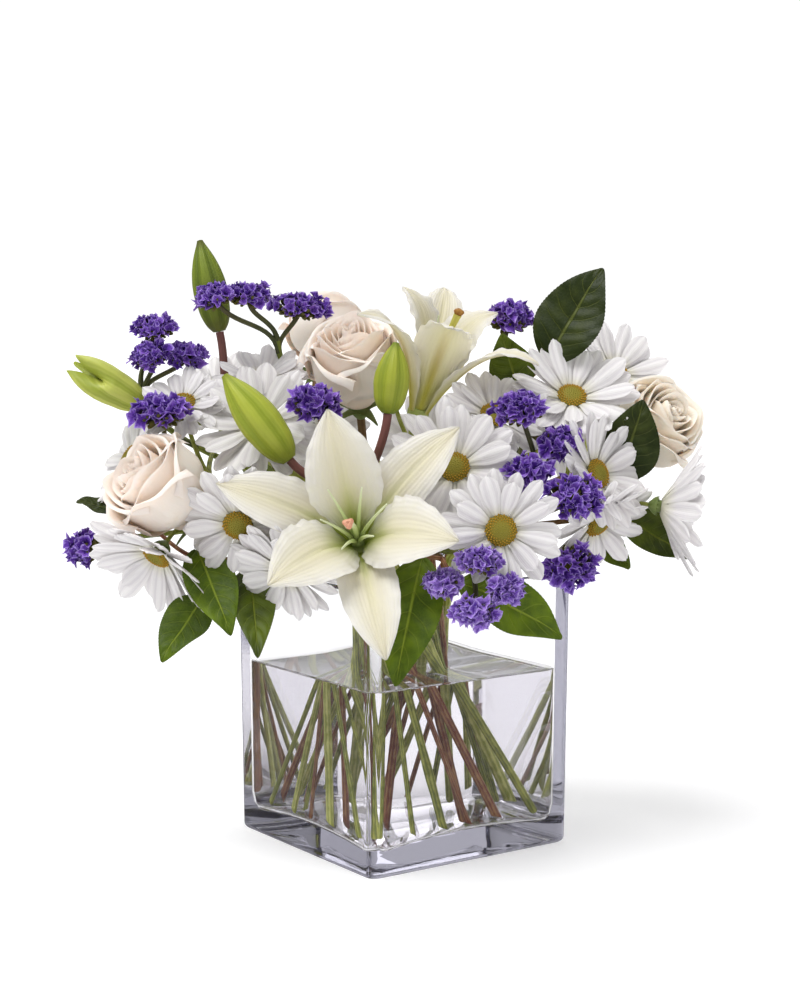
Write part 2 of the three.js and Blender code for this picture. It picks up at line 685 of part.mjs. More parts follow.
// A ring of petals in one skin. Two petals part at a point of the ring's edge. Each petal has a flat
// face above and a ridge below, which runs out at its blunt tip. What gives way to it keeps off an
// outline round each petal.
function daisyPetals({ radius, rise = 0.22 }, seed, swell) {
  const random = randomFrom(seed);
  const { petals, neck, ring, thick } = DAISY;
  const inner = neck + 2 * GAP;
  const half = Math.PI / petals;
  const polar = (r, turn, z) => at(r * Math.cos(turn), r * Math.sin(turn), z);
  const points = [];
  const index = [];
  const blades = [];
  for (let k = 0; k < petals; k += 1) {
    const turn = 2 * half * k;
    const droop = (k % 2 === 0 ? 0 : 0.2) + 0.14 * (random() - 0.5);
    const reach = radius * (0.95 + 0.1 * random());
    const swing = turn + 0.1 * (random() - 0.5);
    const height = (r) => 1.2 + (r - ring) * rise - droop * (r - ring) * (r / radius);
    const mid = ring + (reach - ring) * 0.55;
    const side = Math.atan((DAISY.widest * radius) / mid);
    const tip = Math.atan((DAISY.tip * radius) / reach);
    points.push(
      polar(inner, turn - half, 0.8),
      polar(inner, turn - half, -0.8),
      polar(ring, turn - half, 0),
      polar(ring, turn, -thick),
      polar(mid, swing - side, height(mid)),
      polar(mid, swing + side, height(mid)),
      polar(mid, swing, height(mid) - thick),
      polar(reach, swing - tip, height(reach)),
      polar(reach, swing + tip, height(reach)),
    );
    const first = 9 * k;
    const next = 9 * ((k + 1) % petals);
    const [topA, lowA, partA, partLow, midA] = [0, 1, 2, 3, 4].map((n) => first + n);
    const [midB, midLow, tipA, tipB] = [5, 6, 7, 8].map((n) => first + n);
    const [topB, lowB, partB] = [0, 1, 2].map((n) => next + n);
    index.push(topA, partA, partB, topA, partB, topB);
    index.push(partA, midA, midB, partA, midB, partB);
    index.push(midA, tipA, tipB, midA, tipB, midB);
    index.push(lowA, partLow, partA, lowA, lowB, partLow, lowB, partB, partLow);
    index.push(partA, partLow, midLow, partA, midLow, midA);
    index.push(partB, midB, midLow, partB, midLow, partLow);
    index.push(midA, midLow, tipA, midLow, tipB, tipA, midLow, midB, tipB);
    index.push(topA, topB, lowB, topA, lowB, lowA);
    blades.push({ turn: swing, loop: [partA, partLow, partB, midA, midB, midLow, tipA, tipB] });
  }
  if (swell === 0) return solid(fromTriangles(points, index));
  return joined(blades.map(({ loop, turn }) => around(loop.map((k) => points[k]), turn, 1.5 * swell)));
}

// A spray: its stem, a branch to each bloom, and each bloom's green cup, neck and domed disc.
function daisySpray(name, swell) {
  const bodies = [stemSolid(name, swell)];
  const { neck } = DAISY;
  const profile = [
    [0, -7 - swell],
    [5 + swell, -2.6 - swell],
    [neck + swell, -2 + swell],
    [neck + swell, 1.4 - swell],
    [8 + swell, 3 - swell],
    [0, 6 + swell],
  ];
  for (const { place, face, from } of DAISIES[name]) {
    const matrix = placement(place, face);
    bodies.push(solid(turned(profile, 6).applyMatrix4(matrix)));
    const end = place.clone().addScaledVector(face, -5);
    bodies.push(branch(name, from, end, face, 1.5, swell));
  }
  return joined(bodies);
}

// ---------------------------------------------------------------- statice

// Each comb of florets: its place, its half length and half depth, the way it faces, and where its
// branch leaves the stem.
const COMBS = {
  statice_left: [
    { place: at(-129, 5, 268), size: [11, 8], face: at(-0.2, -0.6, 1), from: 1 },
    { place: at(-131, 0, 254), size: [11, 7], face: at(-0.6, -0.8, 0.6), from: 0.95 },
    { place: at(-113, 5, 254), size: [10, 7], face: at(0.3, -0.8, 0.8), from: 0.95 },
    { place: at(-121, -36, 226), size: [14, 11], face: at(-0.1, -0.5, 1), from: 0.7 },
  ],
  statice_crown: [
    { place: at(-97, -2, 284), size: [12, 7], face: at(-0.5, -0.4, 1), from: 0.95 },
    { place: at(-80, 5, 285), size: [12, 8], face: at(0.1, -0.4, 1), from: 1 },
    { place: at(-54, 20, 279), size: [16, 8], face: at(0.2, -0.4, 1), from: 0.95 },
    { place: at(-44, -38, 231), size: [12, 10], face: at(0.2, -1, 0.6), from: 0.5 },
  ],
  statice_high: [{ place: at(57, 25, 273), size: [11, 13], face: at(0.1, -0.5, 1), from: 0.9 }],
  statice_right: [
    { place: at(59, -45, 228), size: [12, 11], face: at(-0.3, -0.8, 1), from: 1 },
    { place: at(79, -40, 210), size: [12, 10], face: at(0.6, -0.8, 0.6), from: 0.8 },
    { place: at(60, -58, 198), size: [12, 11], face: at(-0.3, -1, 0.3), from: 0.75 },
    { place: at(84, -68, 187), size: [16, 10], face: at(0.5, -1, 0.6), from: 0.5 },
    { place: at(84, -46, 151), size: [15, 13], face: at(0.4, -0.9, -0.4), from: 0.3 },
  ],
  statice_front: [
    { place: at(20, -99, 149), size: [9, 7], face: at(-0.5, -1, 0.5), from: 0.95 },
    { place: at(37, -103, 159), size: [9, 7], face: at(0, -0.8, 1), from: 0.95 },
    { place: at(48, -104, 147), size: [9, 7], face: at(0.6, -1, 0), from: 1 },
    { place: at(34, -106, 137), size: [10, 8], face: at(-0.2, -1, -0.5), from: 1 },
  ],
  statice_low: [{ place: at(-164, -8, 155), size: [12, 12], face: at(-1, -0.3, 0.1), from: 1 }],
  statice_back: [
    { place: at(52, 72, 226), size: [13, 10], face: at(0, 1, 0.8), from: 1 },
    { place: at(72, 58, 214), size: [13, 10], face: at(0.8, 0.6, 0.8), from: 0.9 },
    { place: at(46, 86, 184), size: [14, 11], face: at(0.2, 1, -0.2), from: 0.7 },
  ],
};

// The corners of a round twelve-sided solid, and its twelve faces as loops of five corners in turn.
function twelveFaces() {
  const core = mergeVertices(bareGeometry(new THREE.DodecahedronGeometry(1)), 1e-4);
  const { position } = core.attributes;
  const points = [];
  for (let i = 0; i < position.count; i += 1) {
    points.push(new THREE.Vector3().fromBufferAttribute(position, i));
  }
  const faces = [];
  for (let i = 0; i < core.index.count; i += 9) {
    const corners = [...new Set([...Array(9).keys()].map((k) => core.index.getX(i + k)))];
    const middle = corners.reduce((sum, k) => sum.add(points[k]), at(0, 0, 0)).divideScalar(5);
    const side = points[corners[0]].clone().sub(middle).normalize();
    const round = middle.clone().normalize().cross(side);
    const angle = (k) => {
      const spoke = points[k].clone().sub(middle);
      return Math.atan2(spoke.dot(round), spoke.dot(side));
    };
    faces.push({ loop: corners.sort((p, q) => angle(p) - angle(q)), middle });
  }
  return { points, faces };
}

// One comb of florets: a small twelve-sided core. From each of its faces but the lowest a floret
// stands out as a flared cup. What gives way to a comb keeps off its whole outline. breadth: the
// comb's depth from front to back, as a share of its length.
const FLORET = { core: 0.42, lip: 1.22, flare: 0.86, breadth: 0.7, lowest: -0.3 };

function comb({ size }, seed, swell) {
  const random = randomFrom(seed);
  const [long, deep] = size;
  const { points, faces } = twelveFaces();
  const stretch = at(long, long * FLORET.breadth, deep);
  const sized = (p, reach) => p.clone().multiplyScalar(reach).multiply(stretch).addScaledVector(p, swell);
  const skin = points.map((p) => sized(p, FLORET.core));
  const index = [];
  for (const { loop, middle } of faces) {
    if (middle.z < FLORET.lowest) {
      for (let k = 1; k < 4; k += 1) index.push(loop[0], loop[k], loop[k + 1]);
      continue;
    }
    const out = 0.92 + 0.16 * random();
    const rim = loop.map((k) => {
      const spoke = points[k].clone().sub(middle).multiplyScalar(FLORET.flare);
      skin.push(sized(middle.clone().multiplyScalar(FLORET.lip).add(spoke), out));
      return skin.length - 1;
    });
    for (let k = 0; k < 5; k += 1) {
      const n = (k + 1) % 5;
      index.push(loop[k], loop[n], rim[n], loop[k], rim[n], rim[k]);
    }
    for (let k = 1; k < 4; k += 1) index.push(rim[0], rim[k], rim[k + 1]);
  }
  return solid(swell > 0 ? new ConvexGeometry(skin) : fromTriangles(skin, index));
}

function staticeSprig(name, swell) {
  const bodies = [stemSolid(name, swell)];
  COMBS[name].forEach((one, n) => {
    const face = one.face.clone().normalize();
    const head = comb(one, n + 1 + name.length * 7, swell);
    bodies.push(moved(head, placement(one.place, face)));
    bodies.push(branch(name, one.from, one.place, face, 1.4, swell));
  });
  return joined(bodies);
}

// ---------------------------------------------------------------- leaves

// Each leaf: base, tip, width, which way its face looks, and where it leaves the stem.
const LEAVES = {
  leaves_high: [
    { base: at(77, 10, 250), tip: at(106, 15, 300), width: 40, look: at(-0.4, -1, 0.3), from: 1 },
    { base: at(62, 8, 236), tip: at(52, 0, 266), width: 26, look: at(-0.3, -1, 0.4), from: 0.85 },
  ],
  leaves_right: [
    { base: at(112, -12, 190), tip: at(126, -8, 232), width: 34, look: at(0.2, -1, 0.2), from: 1 },
    { base: at(112, 0, 170), tip: at(150, -2, 148), width: 32, look: at(0.4, -0.8, 0.7), from: 1 },
    { base: at(100, 8, 162), tip: at(120, 4, 142), width: 18, look: at(0.2, -1, 0.4), from: 0.9 },
  ],
  leaves_front: [
    { base: at(10, -72, 158), tip: at(-3, -98, 99), width: 33, look: at(-0.1, -1, 0.45), from: 0.95 },
    { base: at(27, -78, 146), tip: at(78, -74, 118), width: 36, look: at(0.2, -1, 0.9), from: 1 },
  ],
  leaves_left: [
    { base: at(-104, -42, 158), tip: at(-84, -72, 119), width: 28, look: at(0.2, -1, 0.6), from: 1 },
    { base: at(-98, -40, 134), tip: at(-119, -62, 104), width: 28, look: at(-0.3, -1, 0.7), from: 0.9 },
    { base: at(-78, -32, 146), tip: at(-70, -84, 110), width: 24, look: at(0.2, -1, 0.6), from: 0.8 },
    { base: at(-146, -2, 172), tip: at(-170, -5, 178), width: 16, look: at(0, -0.6, 1), from: 0.98 },
  ],
  leaves_back: [
    { base: at(-40, 88, 172), tip: at(-84, 104, 150), width: 34, look: at(-0.2, 1, 0.7), from: 1 },
    { base: at(-20, 92, 168), tip: at(-12, 112, 116), width: 36, look: at(0, 1, 0.4), from: 1 },
    { base: at(-60, 86, 178), tip: at(-98, 84, 212), width: 32, look: at(-0.4, 1, 0.3), from: 0.9 },
  ],
};

// A pointed leaf, folded along its midrib and arched, in the plane of its base, tip and look.
function leaf({ base, tip, width, look }, swell) {
  const chord = tip.clone().sub(base);
  const reach = chord.length();
  const arch = 14 * DEG;
  const rib = midrib([0, 0], arch, [reach, 0], -arch);
  const shape = {
    length: reach,
    width: (u) => 2 + (width - 2) * Math.sin(Math.PI * u ** 0.85) ** 0.85 * (1 - 0.15 * u),
    point: alongRib(rib, (u, s) => 0.22 * Math.abs(s) + 0.9 * Math.sin(u * 9 + s * 0.05)),
    rows: 4,
    cols: 2,
    thick: 1.3,
  };
  const along = chord.normalize();
  const side = look.clone().cross(along).normalize();
  const up = along.clone().cross(side);
  const frame = new THREE.Matrix4().makeBasis(along, side, up).setPosition(base);
  return solid(blade(shape, swell).applyMatrix4(frame));
}

function leafySprig(name, swell) {
  const bodies = [stemSolid(name, swell)];
  for (const one of LEAVES[name]) {
    const along = one.tip.clone().sub(one.base).normalize();
    const end = one.base.clone().addScaledVector(along, 3);
    bodies.push(branch(name, one.from, end, along, 1.6, swell, 2, 4));
    bodies.push(leaf(one, swell));
  }
  return joined(bodies);
}

// ---------------------------------------------------------------- lily stems

// Which blooms and buds each lily stem carries, and where their stalks leave it.
const STALKS = {
  lily_a: [
    { bloom: "lily_a", from: 0.72 },
    { bud: "bud_centre", from: 0.98 },
    { bud: "bud_middle", from: 0.98 },
  ],
  lily_b: [{ bloom: "lily_b", from: 0.9 }],
  lily_c: [
    { bud: "bud_top", from: 0.98 },
    { bud: "bud_left", from: 0.9 },
  ],
};

function lilyStem(name, swell) {
  const bodies = [stemSolid(name, swell)];
  for (const stalk of STALKS[name]) {
    const { place, face } = stalk.bloom ? LILIES[stalk.bloom] : budSeat(stalk.bud);
    const end = place.clone().addScaledVector(face, -(stalk.bloom ? 5 : 0) - GAP);
    bodies.push(branch(name, stalk.from, end, face, 2.2, swell, 3, 5));
  }
  return joined(bodies);
}

// ---------------------------------------------------------------- assembly

// Every piece that grows, in the order in which a later piece gives way to an earlier one: what it
// is called, its finish, its solid for a swell, and where it stands.
const HERE = new THREE.Matrix4();
const pieces = [];
const grow = (name, finish, make, matrix = HERE) => pieces.push({ name, finish, make, matrix });

for (const name of Object.keys(STALKS)) {
  grow(`${name}_stem`, "stem", (swell) => lilyStem(name, swell));
}
for (const name of Object.keys(ROSES)) {
  grow(`${name}_stem`, "stem", (swell) => roseStem(name, swell));
}
for (const name of Object.keys(DAISIES)) {
  grow(`${name}_spray`, "stem", (swell) => daisySpray(name, swell));
}
for (const [name, { place, face, roll }] of Object.entries(LILIES)) {
  const matrix = placement(place, face, roll);
  grow(`${name}_tepals`, "lily", (swell) => lilyTepals(name, swell), matrix);
  grow(`${name}_heart`, "lilyHeart", (swell) => lilyHeart(name, swell), matrix);
}
for (const name of Object.keys(BUDS)) {
  const { place, face } = budSeat(name);
  grow(name, "bud", (swell) => bud(name, swell), placement(place, face));
}
for (const [name, { place, face }] of Object.entries(ROSES)) {
  grow(`${name}_petals`, "rose", (swell) => roseHead(name, swell), placement(place, face, ROSE_ROLL));
}
for (const name of Object.keys(COMBS)) {
  grow(name, "statice", (swell) => staticeSprig(name, swell));
}
let bloomNumber = 0;
for (const blooms of Object.values(DAISIES)) {
  for (const bloom of blooms) {
    bloomNumber += 1;
    const seed = bloomNumber;
    const matrix = placement(bloom.place, bloom.face, seed * 17);
    grow(`daisy_${seed}`, "daisy", (swell) => daisyPetals(bloom, seed, swell), matrix);
  }
}
for (const name of Object.keys(LEAVES)) {
  grow(name, "leaf", (swell) => leafySprig(name, swell));
}

function boxesMeet(a, b) {
  const [p, q] = [a.boundingBox(), b.boundingBox()];
  return [0, 1, 2].every((k) => p.min[k] < q.max[k] && q.min[k] < p.max[k]);
}

// The vase and the water in the bouquet's frame, for cutting.
const intoBouquet = new THREE.Matrix4().makeRotationZ(-BOUQUET_TURN);
const vaseSolid = solid(vaseGeometry());
const keepOff = [moved(vaseSolid, intoBouquet)];
const cutOut = [];

for (const piece of pieces) {
  let body = moved(piece.make(0), piece.matrix);
  for (const other of keepOff) {
    if (boxesMeet(body, other)) body = body.subtract(other);
  }
  piece.body = largest(body);
  const wide = moved(piece.make(GAP), piece.matrix);
  keepOff.push(wide);
  if (piece.body.boundingBox().min[2] < WATER_LEVEL) cutOut.push(wide);
}

const outOfBouquet = new THREE.Matrix4().makeRotationZ(BOUQUET_TURN);
let waterSolid = solid(waterGeometry());
for (const other of cutOut) {
  const hole = moved(other, outOfBouquet);
  if (boxesMeet(waterSolid, hole)) waterSolid = waterSolid.subtract(hole);
}

function meshOf(name, finish, body, matrix = HERE) {
  const geometry = geometryOf(body).applyMatrix4(matrix.clone().invert());
  const mesh = new THREE.Mesh(geometry, new THREE.MeshStandardMaterial(FINISH[finish]));
  mesh.name = name;
  mesh.applyMatrix4(matrix);
  return mesh;
}

const bouquet = new THREE.Group();
bouquet.rotation.z = BOUQUET_TURN;
for (const { name, finish, body, matrix } of pieces) bouquet.add(meshOf(name, finish, body, matrix));

const arrangement = new THREE.Group();
arrangement.add(meshOf("vase", "glass", vaseSolid));
arrangement.add(meshOf("water", "water", largest(waterSolid)));
arrangement.add(bouquet);

export default arrangement;
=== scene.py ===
"""Two lilies with their buds, roses, daisies and statice in a square glass vase of water.

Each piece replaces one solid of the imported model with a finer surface. Whatever grows is given in the
bouquet's frame, in millimetres: x to the right as seen from its front, y away from the viewer, z up.
"""

import logging
import math
from dataclasses import dataclass
from enum import Enum

import bmesh
import bpy
import numpy as np
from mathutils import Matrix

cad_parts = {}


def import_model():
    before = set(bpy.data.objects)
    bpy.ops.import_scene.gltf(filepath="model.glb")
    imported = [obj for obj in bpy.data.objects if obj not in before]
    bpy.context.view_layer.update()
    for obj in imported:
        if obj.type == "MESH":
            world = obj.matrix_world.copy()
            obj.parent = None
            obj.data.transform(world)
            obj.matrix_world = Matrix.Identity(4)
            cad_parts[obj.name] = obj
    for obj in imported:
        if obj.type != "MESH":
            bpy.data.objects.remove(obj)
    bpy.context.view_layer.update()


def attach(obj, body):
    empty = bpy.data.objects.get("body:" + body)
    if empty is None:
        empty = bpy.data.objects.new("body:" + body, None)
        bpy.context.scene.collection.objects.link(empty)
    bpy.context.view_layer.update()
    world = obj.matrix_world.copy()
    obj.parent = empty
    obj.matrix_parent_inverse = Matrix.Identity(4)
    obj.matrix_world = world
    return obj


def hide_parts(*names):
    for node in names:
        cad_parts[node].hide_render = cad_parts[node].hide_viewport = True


Array = np.ndarray
Point = tuple[float, float, float]
Colour = tuple[float, float, float, float]
Profile = tuple[tuple[float, float], ...]  # pairs of distance and height along an outline

LOG = logging.getLogger("bouquet")
MILLIMETRE = 0.001
BOUQUET_TURN = math.radians(35.2)  # from the bouquet's front to the vase's own front, about z
GOLDEN = math.radians(137.508)  # the turn from one floret to the next
WELD = 2e-6  # corners nearer than this, in metres, are one
CREASE = math.radians(52)


class Slot(Enum):
    """Names of the material slots."""

    GLASS = "glass"
    WATER = "water"
    LILY = "lily_petal"
    HEART = "lily_heart"
    BUD = "lily_bud"
    ROSE = "rose_petal"
    DAISY = "daisy_petal"
    STATICE = "statice"
    LEAF = "leaf"
    STEM = "stem"


# ---- arithmetic of shapes


def unit(vectors: Array) -> Array:
    """Vectors divided by their length.

    Args:
        vectors: Vectors along the last axis.

    Returns:
        The same array with each vector one long.
    """
    vectors = np.asarray(vectors, float)
    length = np.linalg.norm(vectors, axis=-1, keepdims=True)
    return vectors / np.maximum(length, 1e-9)


def smooth(x: Array | float, low: float = 0.0, high: float = 1.0) -> Array:
    """An S-shaped rise from 0 at low to 1 at high: 3t^2 - 2t^3 of the clamped share t."""
    t = np.clip((np.asarray(x, float) - low) / (high - low), 0, 1)
    return t * t * (3 - 2 * t)


def cubic(a: Array, b: Array, c: Array, d: Array, t: Array | float) -> Array:
    """Points of a cubic curve: the four handles weighted by the cube of (1 - t) plus t.

    Args:
        a: Start.
        b: Handle after the start.
        c: Handle before the end.
        d: End.
        t: Parts of the curve from 0 to 1.

    Returns:
        One point for each t.
    """
    t = np.asarray(t, float)[..., None]
    r = 1 - t
    return r**3 * a + 3 * r * r * t * b + 3 * r * t * t * c + t**3 * d


def quadratic(a: Array, b: Array, c: Array, t: Array) -> Array:
    """Points of a quadratic curve from a to c that leans towards b.

    The weights of the three are (1 - t)^2, 2 t (1 - t) and t^2.

    Args:
        a: Start.
        b: What it leans towards.
        c: End.
        t: Parts of the curve from 0 to 1.

    Returns:
        One point for each t.
    """
    return (1 - t)[:, None] ** 2 * a + 2 * ((1 - t) * t)[:, None] * b + t[:, None] ** 2 * c


def facing(azimuth: float, elevation: float) -> Array:
    """The direction that an azimuth to the right of the viewer and an elevation name, in degrees."""
    a, e = math.radians(azimuth), math.radians(elevation)
    return np.array([math.sin(a) * math.cos(e), -math.cos(a) * math.cos(e), math.sin(e)])


@dataclass(frozen=True)
class Seat:
    """A place with a direction, where a shape that was made about its own z axis stands."""

    place: Array
    axis: Array
    roll: float = 0.0  # in degrees

    def put(self, local: Array) -> Array:
        """Points of the shape, stood in the seat.

        The shape's z lies along the axis, and its x to the right of whoever looks at its face,
        turned about the axis by the roll.

        Args:
            local: Points about the shape's own axis.

        Returns:
            The points in the bouquet's frame.
        """
        axis = unit(self.axis)
        side = unit(np.cross([0.0, 0.0, 1.0], axis))
        up = np.cross(axis, side)
        c, s = math.cos(math.radians(self.roll)), math.sin(math.radians(self.roll))
        x = c * side + s * up
        y = c * up - s * side
        return np.asarray(self.place) + local[..., 0:1] * x + local[..., 1:2] * y + local[..., 2:3] * axis


def scatter(local: Array, places: Array, axes: Array, rolls: Array, sizes: Array) -> Array:
    """One small shape stood at many places.

    Each copy is scaled by its size, turned about its own z by its roll, and its z laid on its axis.

    Args:
        local: Points of the shape, (rows, columns, 3), or of each copy, (copies, rows, columns, 3).
        places: Where each copy stands, (copies, 3).
        axes: The way each copy points, (copies, 3).
        rolls: How far each is turned about itself, in radians.
        sizes: How large each is.

    Returns:
        The points of all copies, (copies, rows, columns, 3).
    """
    axis = unit(axes)
    other = np.where(np.abs(axis[:, 2:3]) > 0.9, [[1.0, 0.0, 0.0]], [[0.0, 0.0, 1.0]])
    side = unit(np.cross(other, axis))
    up = np.cross(axis, side)
    c, s = np.cos(rolls)[:, None], np.sin(rolls)[:, None]
    basis = np.stack([c * side + s * up, c * up - s * side, axis], axis=1) * np.reshape(sizes, (-1, 1, 1))
    local = np.broadcast_to(local, (len(places), *local.shape[-3:]))
    return np.einsum("knmc,kcd->knmd", local, basis) + places[:, None, None, :]


def round_grid(path: Array, radii: Array | float, sides: int) -> Array:
    """The skin of a round bar: a circle of its radius stood square to its path at each point.

    Both ends close to a point. The circles' zero direction stays on one side of the path.

    Args:
        path: Points of the middle line, (..., rows, 3).
        radii: One radius for each point, or for each point and each corner of its circle.
        sides: Faces round the bar.

    Returns:
        Points (..., rows + 2, sides + 1, 3); the last column repeats the first.
    """
    along = unit(np.gradient(path, axis=-2))
    least = np.argmin(np.abs(along).max(axis=-2), axis=-1)
    across = unit(np.cross(np.eye(3)[least][..., None, :], along))
    third = np.cross(along, across)
    turn = np.linspace(0, 2 * math.pi, sides + 1)
    radii = np.broadcast_to(radii, path.shape[:-1]) if np.ndim(radii) < path.ndim else radii
    reach = radii[..., None] if np.ndim(radii) == path.ndim - 1 else radii
    reach = np.broadcast_to(reach, (*path.shape[:-1], sides + 1))[..., None]
    ring = np.cos(turn)[:, None] * across[..., None, :] + np.sin(turn)[:, None] * third[..., None, :]
    skin = path[..., None, :] + reach * ring
    first = np.broadcast_to(path[..., :1, None, :], skin[..., :1, :, :].shape)
    last = np.broadcast_to(path[..., -1:, None, :], skin[..., :1, :, :].shape)
    return np.concatenate([first, skin, last], axis=-3)


def lathe_grid(profile: Profile, sides: int) -> Array:
    """A profile swept once round the z axis.

    Args:
        profile: Its pairs, from the lower pole to the upper one.
        sides: Faces round the axis.

    Returns:
        Points (rows, sides + 1, 3); the last column repeats the first.
    """
    radius, height = np.array(profile, float).T[:, :, None]
    turn = np.linspace(0, 2 * math.pi, sides + 1)
    return np.stack([radius * np.cos(turn), radius * np.sin(turn), height + 0 * turn], axis=-1)


class Skin:
    """Grids of points gathered into one mesh, each with its finish.

    Every grid carries a map: along it from 0 to 1, across it from 0 to 1, and a tint that is one
    number for the whole grid.
    """

    def __init__(self, grows: bool = True) -> None:
        """Starts an empty skin; grows says that its points are in the bouquet's frame."""
        self.grows = grows
        self.finishes: list["Finish"] = []
        self.points: list[Array] = []
        self.maps: list[Array] = []
        self.tints: list[Array] = []
        self.quads: list[Array] = []
        self.kinds: list[Array] = []
        self.count = 0

    def grid(
        self,
        points: Array,
        finish: "Finish",
        tint: Array | float = 0.5,
        flip: bool = False,
        spans: tuple[Array, Array] | None = None,
    ) -> None:
        """Adds grids of points as faces.

        Four neighbours (i, j), (i+1, j), (i+1, j+1), (i, j+1) make one face, which points to the
        side that along x across points to, or to the other if flipped.

        Args:
            points: (..., rows, columns, 3).
            finish: What the faces are dressed in.
            tint: One number for each grid.
            flip: Whether the faces look the other way.
            spans: The map's two numbers for each point, where they don't simply run from 0 to 1.
        """
        rows, columns = points.shape[-3:-1]
        points = points.reshape(-1, rows, columns, 3)
        copies = len(points)
        index = np.arange(copies * rows * columns).reshape(copies, rows, columns) + self.count
        corners = [index[:, :-1, :-1], index[:, 1:, :-1], index[:, 1:, 1:], index[:, :-1, 1:]]
        if flip:
            corners.reverse()
        quads = np.stack(corners, axis=-1).reshape(-1, 4)
        if spans is None:
            spans = np.meshgrid(np.linspace(0, 1, rows), np.linspace(0, 1, columns), indexing="ij")
        mapped = np.stack([np.broadcast_to(one, (copies, rows, columns)) for one in spans], axis=-1)
        tints = np.broadcast_to(np.reshape(tint, (-1, 1, 1)), (copies, rows, columns))
        if finish not in self.finishes:
            self.finishes.append(finish)
        self.points.append(points.reshape(-1, 3))
        self.maps.append(mapped.reshape(-1, 2))
        self.tints.append(tints.reshape(-1))
        self.quads.append(quads)
        self.kinds.append(np.full(len(quads), self.finishes.index(finish)))
        self.count += copies * rows * columns

    def blade(
        self,
        middle: Array,
        thick: float,
        finish: "Finish",
        under: "Finish | None" = None,
        tint: Array | float = 0.5,
    ) -> None:
        """Adds thin closed blades about their middle surfaces.

        Both faces stand off by half the thickness along the surface's normal, times the fourth
        root of 1 - v^2 across, with v from -1 to 1, and meet along every edge.

        Args:
            middle: Middle surfaces, (..., rows, columns, 3).
            thick: Thickness in the middle.
            finish: What the upper face is dressed in.
            under: What the lower face is dressed in, if not the same.
            tint: One number for each blade.
        """
        rows, columns = middle.shape[-3:-1]
        normal = unit(np.cross(np.gradient(middle, axis=-3), np.gradient(middle, axis=-2)))
        v = np.linspace(-1, 1, columns)
        step = np.arange(rows)
        ends = np.clip(np.minimum(step, rows - 1 - step), 0, 1)[:, None]
        off = normal * (0.5 * thick * ends * (1 - v**2) ** 0.25)[..., None]
        self.grid(middle + off, finish, tint)
        self.grid(middle - off, under or finish, tint, flip=True)

    def bar(
        self,
        path: Array,
        radii: Array | float,
        finish: "Finish",
        sides: int = 10,
        tint: Array | float = 0.5,
    ) -> None:
        """Adds round bars along their paths, closed at both ends.

        Args:
            path: Points of each middle line, (..., rows, 3).
            radii: Radius at each point.
            finish: What they are dressed in.
            sides: Faces round each bar.
            tint: One number for each bar.
        """
        self.grid(round_grid(path, radii, sides), finish, tint, flip=True)

    def build(self, name: str) -> bpy.types.Object:
        """Makes the object: its corners are welded, and edges sharper than the crease stay sharp.

        Args:
            name: The object's name.

        Returns:
            The object at the origin, with its place in its mesh.
        """
        points = np.concatenate(self.points)
        if self.grows:
            x, y, z = points.T
            c, s = math.cos(BOUQUET_TURN), math.sin(BOUQUET_TURN)
            points = np.stack([x * c + y * s, y * c - x * s, z], axis=-1)
        quads = np.concatenate(self.quads)
        mesh = bpy.data.meshes.new(name)
        mesh.from_pydata((points * MILLIMETRE).tolist(), [], quads.tolist())
        mesh.polygons.foreach_set("material_index", np.concatenate(self.kinds).astype(np.int32))
        layer = mesh.uv_layers.new(name="span")
        layer.data.foreach_set("uv", np.concatenate(self.maps)[quads.ravel()].astype(np.float32).ravel())
        tint = mesh.attributes.new("tint", "FLOAT", "POINT")
        tint.data.foreach_set("value", np.concatenate(self.tints).astype(np.float32))
        for finish in self.finishes:
            mesh.materials.append(finish.material())
        shape = bmesh.new()
        shape.from_mesh(mesh)
        bmesh.ops.remove_doubles(shape, verts=shape.verts, dist=WELD)
        bmesh.ops.dissolve_degenerate(shape, edges=shape.edges, dist=WELD / 10)
        shape.to_mesh(mesh)
        shape.free()
        mesh.shade_smooth()
        mesh.set_sharp_from_angle(angle=CREASE)
        thing = bpy.data.objects.new(name, mesh)
        bpy.context.scene.collection.objects.link(thing)
        return thing


def settle(skin: Skin, node: str) -> None:
    """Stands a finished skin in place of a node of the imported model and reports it.

    Args:
        skin: The skin.
        node: The node that it replaces.
    """
    piece = skin.build(f"{node}_fine")
    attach(piece, "root")
    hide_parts(node)
    faces = sum(len(polygon.vertices) - 2 for polygon in piece.data.polygons)
    LOG.info("%-24s %7d triangles, %d finishes", piece.name, faces, len(skin.finishes))


# ---- finishes


